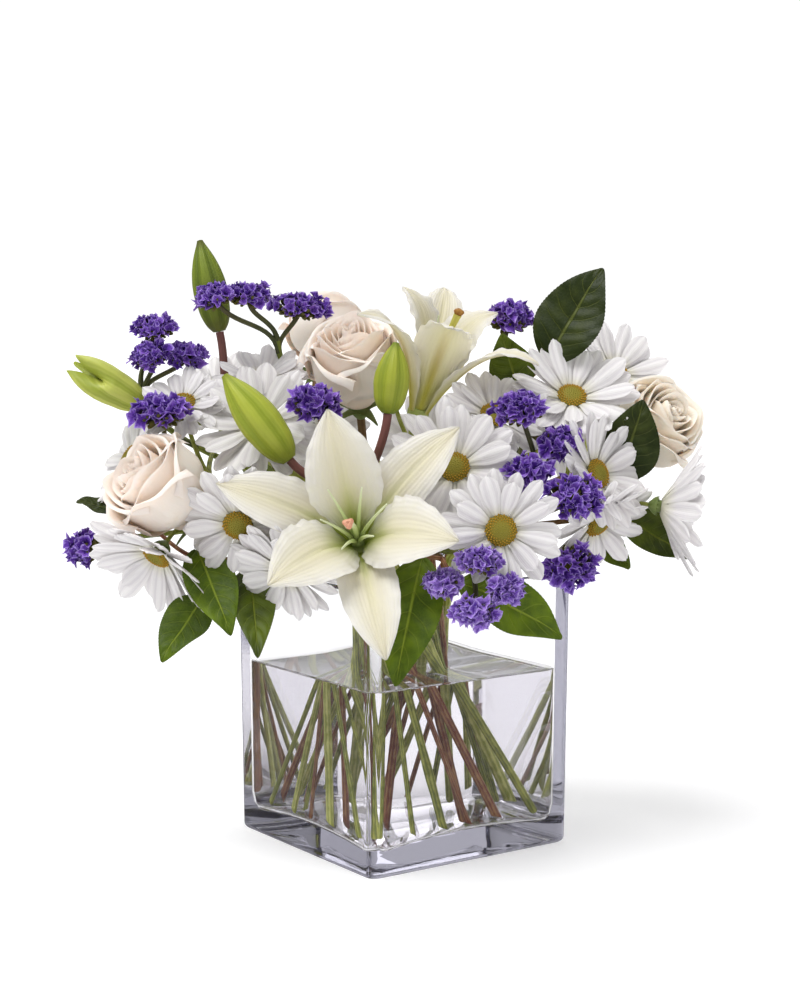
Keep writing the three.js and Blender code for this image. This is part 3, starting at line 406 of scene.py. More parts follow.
class Field:
    """A shader socket that carries numbers and can be reckoned with."""

    def __init__(self, bench: "Bench", socket: bpy.types.NodeSocket) -> None:
        """Wraps a socket of a bench."""
        self.bench = bench
        self.socket = socket

    def __add__(self, other: "Field | float") -> "Field":
        """The sum."""
        return self.bench.math("ADD", self, other)

    def __radd__(self, other: float) -> "Field":
        """The sum, from the right."""
        return self.bench.math("ADD", other, self)

    def __sub__(self, other: "Field | float") -> "Field":
        """The difference."""
        return self.bench.math("SUBTRACT", self, other)

    def __rsub__(self, other: float) -> "Field":
        """The difference, from the right."""
        return self.bench.math("SUBTRACT", other, self)

    def __mul__(self, other: "Field | float") -> "Field":
        """The product."""
        return self.bench.math("MULTIPLY", self, other)

    def __rmul__(self, other: float) -> "Field":
        """The product, from the right."""
        return self.bench.math("MULTIPLY", other, self)

    def __pow__(self, other: float) -> "Field":
        """The power."""
        return self.bench.math("POWER", self, other)

    def __abs__(self) -> "Field":
        """The size without its sign."""
        return self.bench.math("ABSOLUTE", self)

    def sine(self) -> "Field":
        """The sine of an angle in radians."""
        return self.bench.math("SINE", self)

    def rise(self, low: float, high: float) -> "Field":
        """An S-shaped rise from 0 where this is low to 1 where it is high.

        Args:
            low: Where it starts.
            high: Where it ends; below low for a fall.

        Returns:
            The rise.
        """
        settings = {"interpolation_type": "SMOOTHSTEP"}
        sockets = {"Value": self, "From Min": min(low, high), "From Max": max(low, high)}
        found = Field(self.bench, self.bench.node("ShaderNodeMapRange", settings, sockets).outputs[0])
        return found if high > low else 1 - found


class Bench:
    """Where a material's nodes are made and joined."""

    def __init__(self, name: str) -> None:
        """Starts an empty material."""
        self.material = bpy.data.materials.new(name)
        self.material.use_nodes = True
        self.tree = self.material.node_tree
        self.tree.nodes.clear()

    def node(self, kind: str, settings: dict | None = None, sockets: dict | None = None) -> bpy.types.Node:
        """Makes a node.

        Args:
            kind: Its type.
            settings: What is set on the node itself.
            sockets: Values or links of its inputs, by name or number.

        Returns:
            The node.
        """
        node = self.tree.nodes.new(kind)
        for key, value in (settings or {}).items():
            setattr(node, key, value)
        for key, value in (sockets or {}).items():
            if isinstance(value, Field):
                value = value.socket
            if isinstance(value, bpy.types.NodeSocket):
                self.tree.links.new(value, node.inputs[key])
            else:
                node.inputs[key].default_value = value
        return node

    def math(self, operation: str, *values: Field | float) -> Field:
        """The outcome of one step of arithmetic on fields or numbers."""
        node = self.node("ShaderNodeMath", {"operation": operation}, dict(enumerate(values)))
        return Field(self, node.outputs[0])

    def mix(self, share: Field | float, first: Colour | Field, second: Colour | Field) -> Field:
        """A colour between two: the first where the share is 0 and the second where it is 1."""
        node = self.node("ShaderNodeMix", {"data_type": "RGBA"}, {0: share, 6: first, 7: second})
        return Field(self, node.outputs[2])

    def span(self) -> tuple[Field, Field]:
        """The skin's own map: the part along a grid and the part across it."""
        found = self.node("ShaderNodeUVMap", {"uv_map": "span"}).outputs[0]
        parts = self.node("ShaderNodeSeparateXYZ", None, {0: found})
        return Field(self, parts.outputs[0]), Field(self, parts.outputs[1])

    def tint(self) -> Field:
        """The number that each grid of a skin carries."""
        return Field(self, self.node("ShaderNodeAttribute", {"attribute_name": "tint"}).outputs["Fac"])

    def place(self) -> bpy.types.NodeSocket:
        """The place on the object, in metres."""
        return self.node("ShaderNodeTexCoord").outputs["Object"]

    def noise(self, size: float, detail: float = 3.0) -> Field:
        """Soft noise whose lumps are about size millimetres across."""
        sockets = {"Vector": self.place(), "Scale": 1 / (size * MILLIMETRE), "Detail": detail}
        return Field(self, self.node("ShaderNodeTexNoise", None, sockets).outputs[0])

    def cells(self, size: float, stretch: Point = (1.0, 1.0, 1.0)) -> Field:
        """How far each place is from the border of the small cell it lies in.

        Args:
            size: Width of a cell in millimetres.
            stretch: Factors on the place's three numbers.

        Returns:
            The distance, in cells.
        """
        moved = self.node("ShaderNodeVectorMath", {"operation": "MULTIPLY"}, {0: self.place(), 1: stretch})
        sockets = {"Vector": moved.outputs[0], "Scale": 1 / (size * MILLIMETRE)}
        settings = {"feature": "DISTANCE_TO_EDGE"}
        return Field(self, self.node("ShaderNodeTexVoronoi", settings, sockets).outputs["Distance"])

    def bump(self, height: Field, distance: float) -> bpy.types.NodeSocket:
        """A normal that a height of so many millimetres bends."""
        sockets = {"Height": height, "Distance": distance * MILLIMETRE, "Strength": 1.0}
        return self.node("ShaderNodeBump", None, sockets).outputs[0]

    def finish(self, **sockets: object) -> bpy.types.Material:
        """Closes the material with a surface.

        Args:
            sockets: The surface's inputs, with _ for each space in their names.

        Returns:
            The material.
        """
        named = {key.replace("_", " "): value for key, value in sockets.items()}
        surface = self.node("ShaderNodeBsdfPrincipled", None, named)
        self.node("ShaderNodeOutputMaterial", None, {"Surface": surface.outputs[0]})
        return self.material


@dataclass(frozen=True)
class Finish:
    """What a surface is dressed in."""

    name: str

    def material(self) -> bpy.types.Material:
        """The finish's material, made once."""
        return bpy.data.materials.get(self.name) or self.dress(Bench(self.name))

    def dress(self, bench: Bench) -> bpy.types.Material:
        """Makes the material on a bench."""
        raise NotImplementedError


@dataclass(frozen=True)
class Clear(Finish):
    """Something that light goes through: its colour is a little deeper the longer the way is."""

    ior: float
    tint: Colour  # of the light left over inside
    density: float
    mirror: float  # how bright its mirrored light is
    shade: float  # how much light of the lamps its shadow lets through

    def dress(self, bench: Bench) -> bpy.types.Material:
        """A clear surface that lets lamps through, over an absorbing inside.

        Args:
            bench: Where it is made.

        Returns:
            The material.
        """
        uneven = bench.noise(38.0, 1.0)
        values = {
            "Base Color": (1, 1, 1, 1),
            "Roughness": 0.0,
            "IOR": self.ior,
            "Transmission Weight": 1.0,
            "Specular Tint": (self.mirror, self.mirror, self.mirror, 1),
            "Normal": bench.bump(uneven, 0.05),
        }
        surface = bench.node("ShaderNodeBsdfPrincipled", None, values)
        through = bench.node("ShaderNodeBsdfTransparent", None, {0: (self.shade, self.shade, self.shade, 1)})
        shadow = bench.node("ShaderNodeLightPath").outputs["Is Shadow Ray"]
        ways = {0: shadow, 1: surface.outputs[0], 2: through.outputs[0]}
        both = bench.node("ShaderNodeMixShader", None, ways)
        inside = bench.node("ShaderNodeVolumeAbsorption", None, {"Color": self.tint, "Density": self.density})
        ends = {"Surface": both.outputs[0], "Volume": inside.outputs[0]}
        bench.node("ShaderNodeOutputMaterial", None, ends)
        return bench.material


@dataclass(frozen=True)
class LilyPetal(Finish):
    """Ivory lily petal: green in the throat and along the midrib, with fine lengthwise veins."""

    flesh: Colour = (0.70, 0.65, 0.50, 1)
    edge: Colour = (0.76, 0.73, 0.66, 1)
    throat: Colour = (0.34, 0.42, 0.02, 1)
    rib: Colour = (0.62, 0.62, 0.26, 1)
    ribbed: float = 0.45

    def dress(self, bench: Bench) -> bpy.types.Material:
        """Ivory, whiter to its sides; the green fades out of the throat and on along the midrib.

        Args:
            bench: Where it is made.

        Returns:
            The material.
        """
        along, across = bench.span()
        out = abs(across - 0.5) * 2
        cloud = bench.noise(9.0)
        colour = bench.mix(out.rise(0.1, 0.95), self.flesh, self.edge)
        on_rib = out.rise(0.30, 0.0) * along.rise(0.95, 0.15)
        colour = bench.mix(on_rib * self.ribbed, colour, self.rib)
        deep = (along + cloud * 0.12 - 0.06 + out * 0.18).rise(0.56, 0.08)
        colour = bench.mix(deep * 0.95, colour, self.throat)
        veins = (across * 88 + cloud * 3).sine()
        grain = bench.noise(0.9, 4.0)
        height = veins * 0.35 + grain * 0.6 - on_rib * 1.5
        return bench.finish(
            Base_Color=colour,
            Roughness=0.5,
            Subsurface_Weight=0.3,
            Subsurface_Radius=(0.006, 0.006, 0.004),
            Subsurface_Scale=0.5,
            Specular_IOR_Level=0.3,
            Normal=bench.bump(height, 0.16),
        )


@dataclass(frozen=True)
class Stalk(Finish):
    """Skin of a stem, a stalk, a filament or a hip: streaked along its length."""

    base: Colour
    streak: Colour
    tip: Colour
    rough: float = 0.45
    gloss: float = 0.4

    def dress(self, bench: Bench) -> bpy.types.Material:
        """Streaks along the bar, turning to the tip's colour towards its end, with shallow grooves.

        Args:
            bench: Where it is made.

        Returns:
            The material.
        """
        along, across = bench.span()
        blotch = bench.noise(6.0)
        fine = bench.noise(0.7, 4.0)
        lines = (across * 44 + blotch * 5).sine() * 0.5 + 0.5
        colour = bench.mix((blotch * 1.5 - 0.5 + lines * 0.45).rise(0.15, 0.9), self.base, self.streak)
        colour = bench.mix(along.rise(0.35, 1.0) * 0.8, colour, self.tip)
        height = lines * 0.6 + fine * 0.7
        return bench.finish(
            Base_Color=colour,
            Roughness=self.rough + fine * 0.15,
            Specular_IOR_Level=self.gloss,
            Normal=bench.bump(height, 0.15),
        )


@dataclass(frozen=True)
class BudSkin(Finish):
    """A closed lily bud: pale ribs, darker grooves between them, green at the base and the tip."""

    rib: Colour
    groove: Colour
    base: Colour
    grooves: float = 6.0

    def dress(self, bench: Bench) -> bpy.types.Material:
        """The groove's colour where the wave round the bud is low; the base's at both ends.

        Args:
            bench: Where it is made.

        Returns:
            The material.
        """
        along, across = bench.span()
        cloud = bench.noise(7.0)
        wave = (across * (2 * math.pi * self.grooves) + 0.5 * math.pi + cloud * 0.8).sine()
        fine = (across * 190 + cloud * 4).sine()
        colour = bench.mix((wave + fine * 0.3).rise(0.6, -1.1) * 0.8, self.rib, self.groove)
        ends = along.rise(0.22, 0.0) + along.rise(0.86, 1.0)
        colour = bench.mix(ends * 0.75 + (cloud - 0.5) * 0.5, colour, self.base)
        grain = bench.noise(0.6, 4.0)
        return bench.finish(
            Base_Color=colour,
            Roughness=0.38 + grain * 0.2,
            Subsurface_Weight=0.1,
            Subsurface_Radius=(0.003, 0.004, 0.001),
            Subsurface_Scale=0.4,
            Normal=bench.bump(fine * 0.4 + grain, 0.12),
        )


@dataclass(frozen=True)
class RosePetal(Finish):
    """Cream rose petal with a peach blush towards its base and the heart of the rose."""

    cream: Colour = (0.99, 0.84, 0.73, 1)
    blush: Colour = (0.98, 0.73, 0.57, 1)
    lip: Colour = (0.99, 0.90, 0.83, 1)

    def dress(self, bench: Bench) -> bpy.types.Material:
        """Peach low down and in the heart, cream above, palest along the lip, with faint veins.

        Args:
            bench: Where it is made.

        Returns:
            The material.
        """
        along, across = bench.span()
        tint = bench.tint()
        cloud = bench.noise(8.0)
        warm = (along + cloud * 0.35 - 0.17 + tint * 0.45).rise(0.95, 0.05)
        colour = bench.mix(warm * 0.62, self.cream, self.blush)
        colour = bench.mix((along + cloud * 0.1).rise(0.86, 1.02) * 0.6, colour, self.lip)
        veins = (across * 120 + cloud * 9).sine()
        grain = bench.noise(0.8, 4.0)
        return bench.finish(
            Base_Color=colour,
            Roughness=0.58,
            Subsurface_Weight=0.35,
            Subsurface_Radius=(0.006, 0.004, 0.003),
            Subsurface_Scale=0.6,
            Specular_IOR_Level=0.2,
            Normal=bench.bump(veins * 0.12 + grain * 0.5, 0.14),
        )


@dataclass(frozen=True)
class DaisyPetal(Finish):
    """White daisy petal with painted lilac-grey shade in two lengthwise grooves, greenish where it starts."""

    white: Colour = (0.86, 0.835, 0.83, 1)
    # painted shade: the colour laid into the petal's grooves
    crease: Colour = (0.57, 0.53, 0.57, 1)
    claw: Colour = (0.62, 0.60, 0.38, 1)

    def dress(self, bench: Bench) -> bpy.types.Material:
        """Painted shade darkens the two grooves along the petal, and the claw's green fades within its first
        part.

        Args:
            bench: Where it is made.

        Returns:
            The material.
        """
        along, across = bench.span()
        cloud = bench.noise(5.0)
        lines = (across * (4 * math.pi) - 0.5 * math.pi).sine() * 0.5 + 0.5
        fine = (across * 64 + cloud * 2).sine() * 0.5 + 0.5
        # painted shade in the grooves, with faint fine lines and a random tone for each petal
        groove_shade = lines * lines * 0.4 + fine * 0.12 + (bench.tint() - 0.5) * 0.25
        colour = bench.mix(groove_shade, self.white, self.crease)
        colour = bench.mix(along.rise(0.30, 0.0) * 0.75, colour, self.claw)
        grain = bench.noise(0.5, 4.0)
        return bench.finish(
            Base_Color=colour,
            Roughness=0.55,
            Subsurface_Weight=0.4,
            Subsurface_Radius=(0.006, 0.006, 0.006),
            Subsurface_Scale=0.6,
            Specular_IOR_Level=0.25,
            Normal=bench.bump(fine * 0.5 + grain * 0.5 - lines, 0.1),
        )


@dataclass(frozen=True)
class Disc(Finish):
    """The heart of a daisy: olive in the middle, with an ochre ring of open florets."""

    middle: Colour = (0.27, 0.235, 0.02, 1)
    ring: Colour = (0.46, 0.26, 0.012, 1)

    def dress(self, bench: Bench) -> bpy.types.Material:
        """The ring's ochre starts near half of the disc's radius, which the tint carries; painted shade darkens
        the low part of each floret and the dome between them.

        Args:
            bench: Where it is made.

        Returns:
            The material.
        """
        out = bench.tint()
        along, _ = bench.span()
        grain = bench.noise(0.35, 3.0)
        colour = bench.mix((out + grain * 0.2 - 0.1).rise(0.35, 0.62), self.middle, self.ring)
        # painted shade: near-black olive low on each floret and on the dome between the florets
        colour = bench.mix(along.rise(0.75, 0.25) * 0.7, colour, (0.10, 0.085, 0.008, 1))
        return bench.finish(Base_Color=colour, Roughness=0.7, Normal=bench.bump(grain, 0.12))


@dataclass(frozen=True)
class Papery(Finish):
    """Dry papery floret: one colour with paler and darker ones among the many."""

    deep: Colour
    pale: Colour
    throat: Colour
    rim: Colour

    def dress(self, bench: Bench) -> bpy.types.Material:
        """Each floret's own mix of deep and pale, with painted shade deepening it low down, a painted highlight
        along its rim, and darker towards its throat, finely pleated.

        Args:
            bench: Where it is made.

        Returns:
            The material.
        """
        along, across = bench.span()
        cloud = bench.noise(1.3, 4.0)
        # painted shade: the deep colour gathers low on each floret, besides each floret's random tone
        share = (bench.tint() * 0.6 + (cloud - 0.5) * 0.9 + along * 0.55).rise(0.4, 1.15)
        colour = bench.mix(share, self.deep, self.pale)
        # painted highlight: the rim colour along each floret's edge
        colour = bench.mix((along + cloud * 0.12).rise(0.94, 1.08) * 0.75, colour, self.rim)
        colour = bench.mix((along + cloud * 0.3 - 0.15).rise(0.55, 0.28) * 0.92, colour, self.throat)
        pleats = (across * 94 + cloud * 3).sine()
        return bench.finish(
            Base_Color=colour,
            Roughness=0.75,
            Specular_IOR_Level=0.2,
            Normal=bench.bump(pleats * 0.4 + cloud * 1.6, 0.35),
        )


SIDE_VEINS = 7.0  # on each side of a leaf's midrib
VEIN_SWEEP = 1.15  # how far a side vein sweeps forward, in veins


@dataclass(frozen=True)
class LeafBlade(Finish):
    """Glossy leaf with a pale midrib and side veins that sweep forward to its edge."""

    flesh: Colour = (0.035, 0.055, 0.003, 1)
    bright: Colour = (0.095, 0.135, 0.005, 1)
    vein: Colour = (0.17, 0.21, 0.02, 1)
    rough: float = 0.40
    gloss: float = 0.26

    def dress(self, bench: Bench) -> bpy.types.Material:
        """Side veins are thin bands of a wave along the leaf that lags behind towards the edge.

        Args:
            bench: Where it is made.

        Returns:
            The material.
        """
        along, across = bench.span()
        out = abs(across - 0.5) * 2
        cloud = bench.noise(14.0)
        net = bench.cells(1.6)
        swept = (along * SIDE_VEINS - out * VEIN_SWEEP - out * out * 0.35 + cloud * 0.5) * (2 * math.pi)
        side = swept.sine().rise(0.95, 1.0) * out.rise(1.0, 0.55)
        rib = out.rise(0.075, 0.02)
        colour = bench.mix((cloud * 1.8 - 0.4 + bench.tint() - 0.5).rise(0.2, 0.9), self.flesh, self.bright)
        colour = bench.mix(net.rise(0.08, 0.0) * 0.25, colour, self.bright)
        colour = bench.mix(side * 0.4, colour, self.vein)
        colour = bench.mix(rib * 0.85, colour, self.vein)
        height = net.rise(0.0, 0.25) * 0.12 - side * 0.6 - rib * 1.5 - swept.sine() * 0.5
        return bench.finish(
            Base_Color=colour,
            Roughness=self.rough + cloud * 0.14,
            Specular_IOR_Level=self.gloss,
            Normal=bench.bump(height, 0.3),
        )


GLASS = Clear("clear_glass", 1.5, (0.66, 0.655, 0.71, 1), 21.0, 0.5, 0.90)
WATER = Clear("clear_water", 1.33, (0.79, 0.765, 0.81, 1), 8.5, 0.2, 0.97)
IVORY = LilyPetal("lily_ivory")
FILAMENT = Stalk("lily_filament", (0.52, 0.63, 0.22, 1), (0.66, 0.73, 0.35, 1), (0.80, 0.84, 0.62, 1))
STIGMA = Stalk("lily_stigma", (0.75, 0.36, 0.22, 1), (0.62, 0.25, 0.15, 1), (0.80, 0.45, 0.30, 1), 0.3)
YELLOW_STYLE = Stalk("lily_style", (0.50, 0.52, 0.07, 1), (0.62, 0.60, 0.12, 1), (0.60, 0.54, 0.12, 1))
BROWN_STIGMA = Stalk(
    "stigma_brown", (0.42, 0.20, 0.04, 1), (0.30, 0.13, 0.02, 1), (0.50, 0.26, 0.06, 1), 0.3
)
# Lily b's outer faces: yellower like real outer tepals, and brightened as painted light on faces turned from the
# lamps.
BRIGHTENED_IVORY_BACK = LilyPetal(
    "lily_back_brightened",
    flesh=(0.98, 0.90, 0.60, 1),
    edge=(0.98, 0.92, 0.75, 1),
    throat=(0.66, 0.62, 0.08, 1),
    rib=(0.50, 0.36, 0.05, 1),
    ribbed=0.85,
)
BUD_LIME = BudSkin("bud_lime", (0.35, 0.39, 0.03, 1), (0.23, 0.29, 0.012, 1), (0.16, 0.22, 0.006, 1))
BUD_GREEN = BudSkin("bud_green", (0.40, 0.45, 0.04, 1), (0.25, 0.32, 0.012, 1), (0.27, 0.32, 0.02, 1))
BUD_PALE = BudSkin("bud_pale", (0.50, 0.54, 0.10, 1), (0.27, 0.33, 0.02, 1), (0.33, 0.39, 0.03, 1))
BUD_DARK = BudSkin("bud_dark", (0.19, 0.25, 0.015, 1), (0.10, 0.15, 0.006, 1), (0.10, 0.10, 0.012, 1))
CREAM = RosePetal("rose_cream")
PEACH = RosePetal("rose_peach", (0.96, 0.84, 0.70, 1), (0.95, 0.68, 0.47, 1), (0.97, 0.90, 0.80, 1))
WHITE = DaisyPetal("daisy_white")
DISC = Disc("daisy_disc")
# The statice rims are a painted highlight, and their deep colours also painted shade low on each floret.
VIOLET = Papery(
    "statice_violet",
    deep=(0.11, 0.035, 0.36, 1),
    pale=(0.30, 0.14, 0.66, 1),
    throat=(0.10, 0.085, 0.03, 1),
    rim=(0.56, 0.42, 0.90, 1),
)
LIGHT_VIOLET = Papery(
    "statice_light",
    deep=(0.19, 0.08, 0.48, 1),
    pale=(0.43, 0.26, 0.78, 1),
    throat=(0.14, 0.12, 0.04, 1),
    rim=(0.64, 0.52, 0.92, 1),
)
HUSK = Papery(
    "statice_husk",
    deep=(0.13, 0.12, 0.02, 1),
    pale=(0.27, 0.25, 0.07, 1),
    throat=(0.10, 0.08, 0.03, 1),
    rim=(0.3, 0.25, 0.15, 1),
)
SALAL = LeafBlade("salal_leaf")
SALAL_UNDER = LeafBlade(
    "salal_under",
    flesh=(0.10, 0.13, 0.025, 1),
    bright=(0.16, 0.20, 0.04, 1),
    vein=(0.26, 0.29, 0.09, 1),
    rough=0.55,
)
SALAL_LIGHT = LeafBlade("salal_light", (0.06, 0.105, 0.004, 1), (0.16, 0.24, 0.006, 1), (0.26, 0.34, 0.03, 1))
SALAL_DARK = LeafBlade("salal_dark", (0.018, 0.030, 0.003, 1), (0.045, 0.06, 0.006, 1), (0.10, 0.12, 0.02, 1))
GREEN = Stalk("stem_green", (0.17, 0.20, 0.025, 1), (0.50, 0.52, 0.11, 1), (0.14, 0.18, 0.02, 1))
LIGHT_GREEN = Stalk("stem_light", (0.34, 0.38, 0.05, 1), (0.74, 0.75, 0.24, 1), (0.22, 0.26, 0.03, 1))
WINGED = Stalk("statice_stem", (0.06, 0.07, 0.025, 1), (0.11, 0.12, 0.04, 1), (0.09, 0.07, 0.035, 1), 0.6)
RED = Stalk("stem_red", (0.20, 0.055, 0.03, 1), (0.46, 0.24, 0.10, 1), (0.13, 0.08, 0.022, 1))
PEDICEL = Stalk("bud_stalk", (0.11, 0.05, 0.03, 1), (0.19, 0.07, 0.06, 1), (0.26, 0.10, 0.09, 1))
GREEN_THROAT = Stalk("lily_throat", (0.42, 0.55, 0.12, 1), (0.50, 0.60, 0.18, 1), (0.55, 0.62, 0.20, 1))
CUP = Stalk("daisy_cup", (0.13, 0.19, 0.04, 1), (0.20, 0.26, 0.07, 1), (0.17, 0.22, 0.06, 1))


# ---- vase and water


def square_ring(half: float, radius: float, height: float, corner: int = 8, side: int = 7) -> Array:
    """A square ring with round corners, closed on itself.

    Each corner is a quarter circle about a centre that lies its radius inside both faces, and
    evenly spaced points fill the straight side up to the next corner.

    Args:
        half: Half of the square's side.
        radius: Radius of its corners.
        height: Its z.
        corner: Faces round one corner.
        side: Faces along one straight side.

    Returns:
        Points (4 (corner + side) + 1, 3).
    """
    quarter = np.arange(4)[:, None] * math.pi / 2
    turn = quarter + np.linspace(0, math.pi / 2, corner + 1)
    sign = np.array([[1, 1], [-1, 1], [-1, -1], [1, -1]])[:, None, :]
    arcs = sign * (half - radius) + radius * np.stack([np.cos(turn), np.sin(turn)], axis=-1)
    share = np.arange(1, side)[None, :, None] / side
    straight = arcs[:, -1:] + (np.roll(arcs, -1, axis=0)[:, :1] - arcs[:, -1:]) * share
    ring = np.concatenate([arcs, straight], axis=1).reshape(-1, 2)
    ring = np.concatenate([ring, ring[:1]])
    return np.concatenate([ring, np.full((len(ring), 1), height)], axis=1)


@dataclass(frozen=True)
class SquareVase:
    """The thick-walled square vase and the water in it, in the vase's own frame."""

    side: float = 127.0
    height: float = 142.0
    wall: float = 6.5
    base: float = 14.0
    corner: float = 5.0
    inner_corner: float = 4.0
    lip_corner: float = 4.4
    cove_corner: float = 6.0
    floor_corner: float = 7.0
    draft: float = 1.0
    foot_round: float = 3.0
    lip_round: float = 1.3
    cove: float = 6.5  # radius between the inner walls and the floor
    dome: float = 2.5  # how far the floor's middle rises
    arch: float = 3.5  # how far the floor's edge rises between two corners
    arch_fade: float = 45.0  # height over which the arch dies away up the wall
    hollow: float = 0.5  # how far the foot's underside stands clear of the table
    water_level: float = 93.0
    # Distances from the wall, and how high the water creeps up there.
    creep: Profile = ((0.0, 1.6), (0.25, 1.5), (0.6, 1.0), (1.2, 0.5), (2.2, 0.15), (4.0, 0.0))
    lap: float = 0.05  # how far the water's skin lies inside the glass
    steps: int = 6

    def wall_at(self, height: float, inset: float = 0.0) -> float:
        """Half the width between the inner walls at a height, less an inset."""
        return self.side / 2 - self.wall - self.draft + self.draft * height / self.height - inset

    def arched(self, ring: Array, share: float) -> Array:
        """A ring that rises between its corners.

        The rise is the arch's times the share, times 1 less the square of the place between the
        middle of a side, 0, and its corner, 1.

        Args:
            ring: The level ring.
            share: How much of the arch it takes.

        Returns:
            The arched ring.
        """
        flat = np.abs(ring[:, :2])
        along = flat.min(axis=1) / flat.max(axis=1)
        return ring + np.stack([0 * along, 0 * along, self.arch * share * (1 - along**2)], axis=1)

    def inner(self, top: float, inset: float) -> list[Array]:
        """Rings of the inner face from its middle out along the floor and up the walls.

        The floor rises to its middle by a cosine dome, a quarter circle leads into the walls, and
        the walls lean out by the draft.

        Args:
            top: Height of the last ring.
            inset: How far it all stands inside the glass.

        Returns:
            The rings, from the middle of the floor to the top.
        """
        floor = self.base - self.dome + inset
        turn = np.linspace(0, math.pi / 2, self.steps)
        flat = self.wall_at(floor + self.cove, inset) - self.cove
        rings = []
        for share in np.linspace(0, 1, 9)[:-1]:
            rise = self.dome * math.cos(share * math.pi / 2) ** 1.5
            half = max(flat * share, 0.02)
            ring = square_ring(half, min(self.floor_corner, half * 0.8), floor + rise)
            rings.append(self.arched(ring, share**3))
        for angle in turn:
            half = flat + self.cove * math.sin(angle)
            ring = square_ring(half, self.cove_corner, floor + self.cove * (1 - math.cos(angle)))
            rings.append(self.arched(ring, 1.0))
        for height in np.linspace(floor + self.cove + 3, top, 5):
            share = max(0.0, 1 - (height - floor - self.cove) / self.arch_fade)
            ring = square_ring(self.wall_at(height, inset), self.inner_corner, height)
            rings.append(self.arched(ring, share))
        return rings

    def glass(self) -> None:
        """The vase: foot, outer walls, rounded lip, inner walls and domed floor in one skin."""
        foot = self.side / 2 - self.draft
        half = self.side / 2
        turn = np.linspace(0, math.pi / 2, self.steps)
        under = foot - self.foot_round
        rings = []
        for share in (0.001, 0.5, 0.92, 0.95, 1.0):
            up = self.hollow if share < 0.95 else 0.0
            rings.append(square_ring(share * under, min(self.corner, share * self.corner + 0.01), up))
        for angle in turn[1:]:
            out = foot - self.foot_round * (1 - math.sin(angle))
            rings.append(square_ring(out, self.corner, self.foot_round * (1 - math.cos(angle))))
        for share in (0.25, 0.5, 0.75):
            height = self.foot_round + share * (self.height - self.foot_round)
            radius = self.corner + (self.inner_corner - self.corner) * share
            rings.append(square_ring(foot + self.draft * height / self.height, radius, height))
        for angle in turn:
            out = half - self.lip_round * (1 - math.cos(angle))
            up = self.height - self.lip_round * (1 - math.sin(angle))
            rings.append(square_ring(out, self.lip_corner, up))
        for angle in turn:
            into = half - self.wall + self.lip_round * (1 - math.sin(angle))
            up = self.height - self.lip_round * (1 - math.cos(angle))
            rings.append(square_ring(into, self.inner_corner, up))
        rings.extend(reversed(self.inner(self.height - 4, 0)))
        skin = Skin(grows=False)
        skin.grid(np.stack(rings), GLASS, flip=True)
        settle(skin, "vase")

    def water(self) -> None:
        """The water: its skin laps into the glass, and its level face creeps up at the walls."""
        level = self.water_level - self.creep[0][1]
        rings = self.inner(level, -self.lap)
        half = self.wall_at(level, -self.lap)
        for into, up in self.creep:
            rings.append(square_ring(half - into, self.inner_corner, level + up))
        for share in (0.6, 0.25, 0.001):
            rings.append(square_ring(half * share, min(self.floor_corner, half * share), level))
        skin = Skin(grows=False)
        skin.grid(np.stack(rings), WATER, flip=True)
        settle(skin, "water")


# ---- stems


class Ring(Enum):
    """The two rings on which the stems cross the bouquet's neck: radius and first angle."""

    OUTER = (32.0, -100.0)
    INNER = (13.0, -40.0)


NECK_HEIGHT = 148.0
FOOT_HEIGHT = 15.6  # just clear of the vase's floor
INNER_FOOT = 40.0  # how far out the inner ring's stems stand
INNER_HALF = 56.0  # half the width between the walls down there
FOOT_MARGIN = 7.0  # how far from the walls the outer ring's stems stand
FOOT_CORNER = 68.0  # and how far out at most, in the vase's corners
TWIST = math.radians(118)  # from the neck to the feet
STEM_SHARE = 1.2  # room between two stems at the neck
STALK_RADIUS = 2.2  # of the stalks that carry a lily or a bud
LILY_FOOT = 5.3  # where a stalk ends below its lily
BUD_FOOT = 0.3
STEM_SEEDS = {"lily": 40, "daisy": 60, "statice": 80, "leaf": 100}  # the first of each kind
BEND_PULL = 0.34  # length of a bend's handles as a share of its span
BRANCH_PULL = 0.4
WANDER = 0.35  # how far a stem strays from its line
JOINTS = 4
JOINT_SWELL = 0.16
STEM_TAPER = 0.12


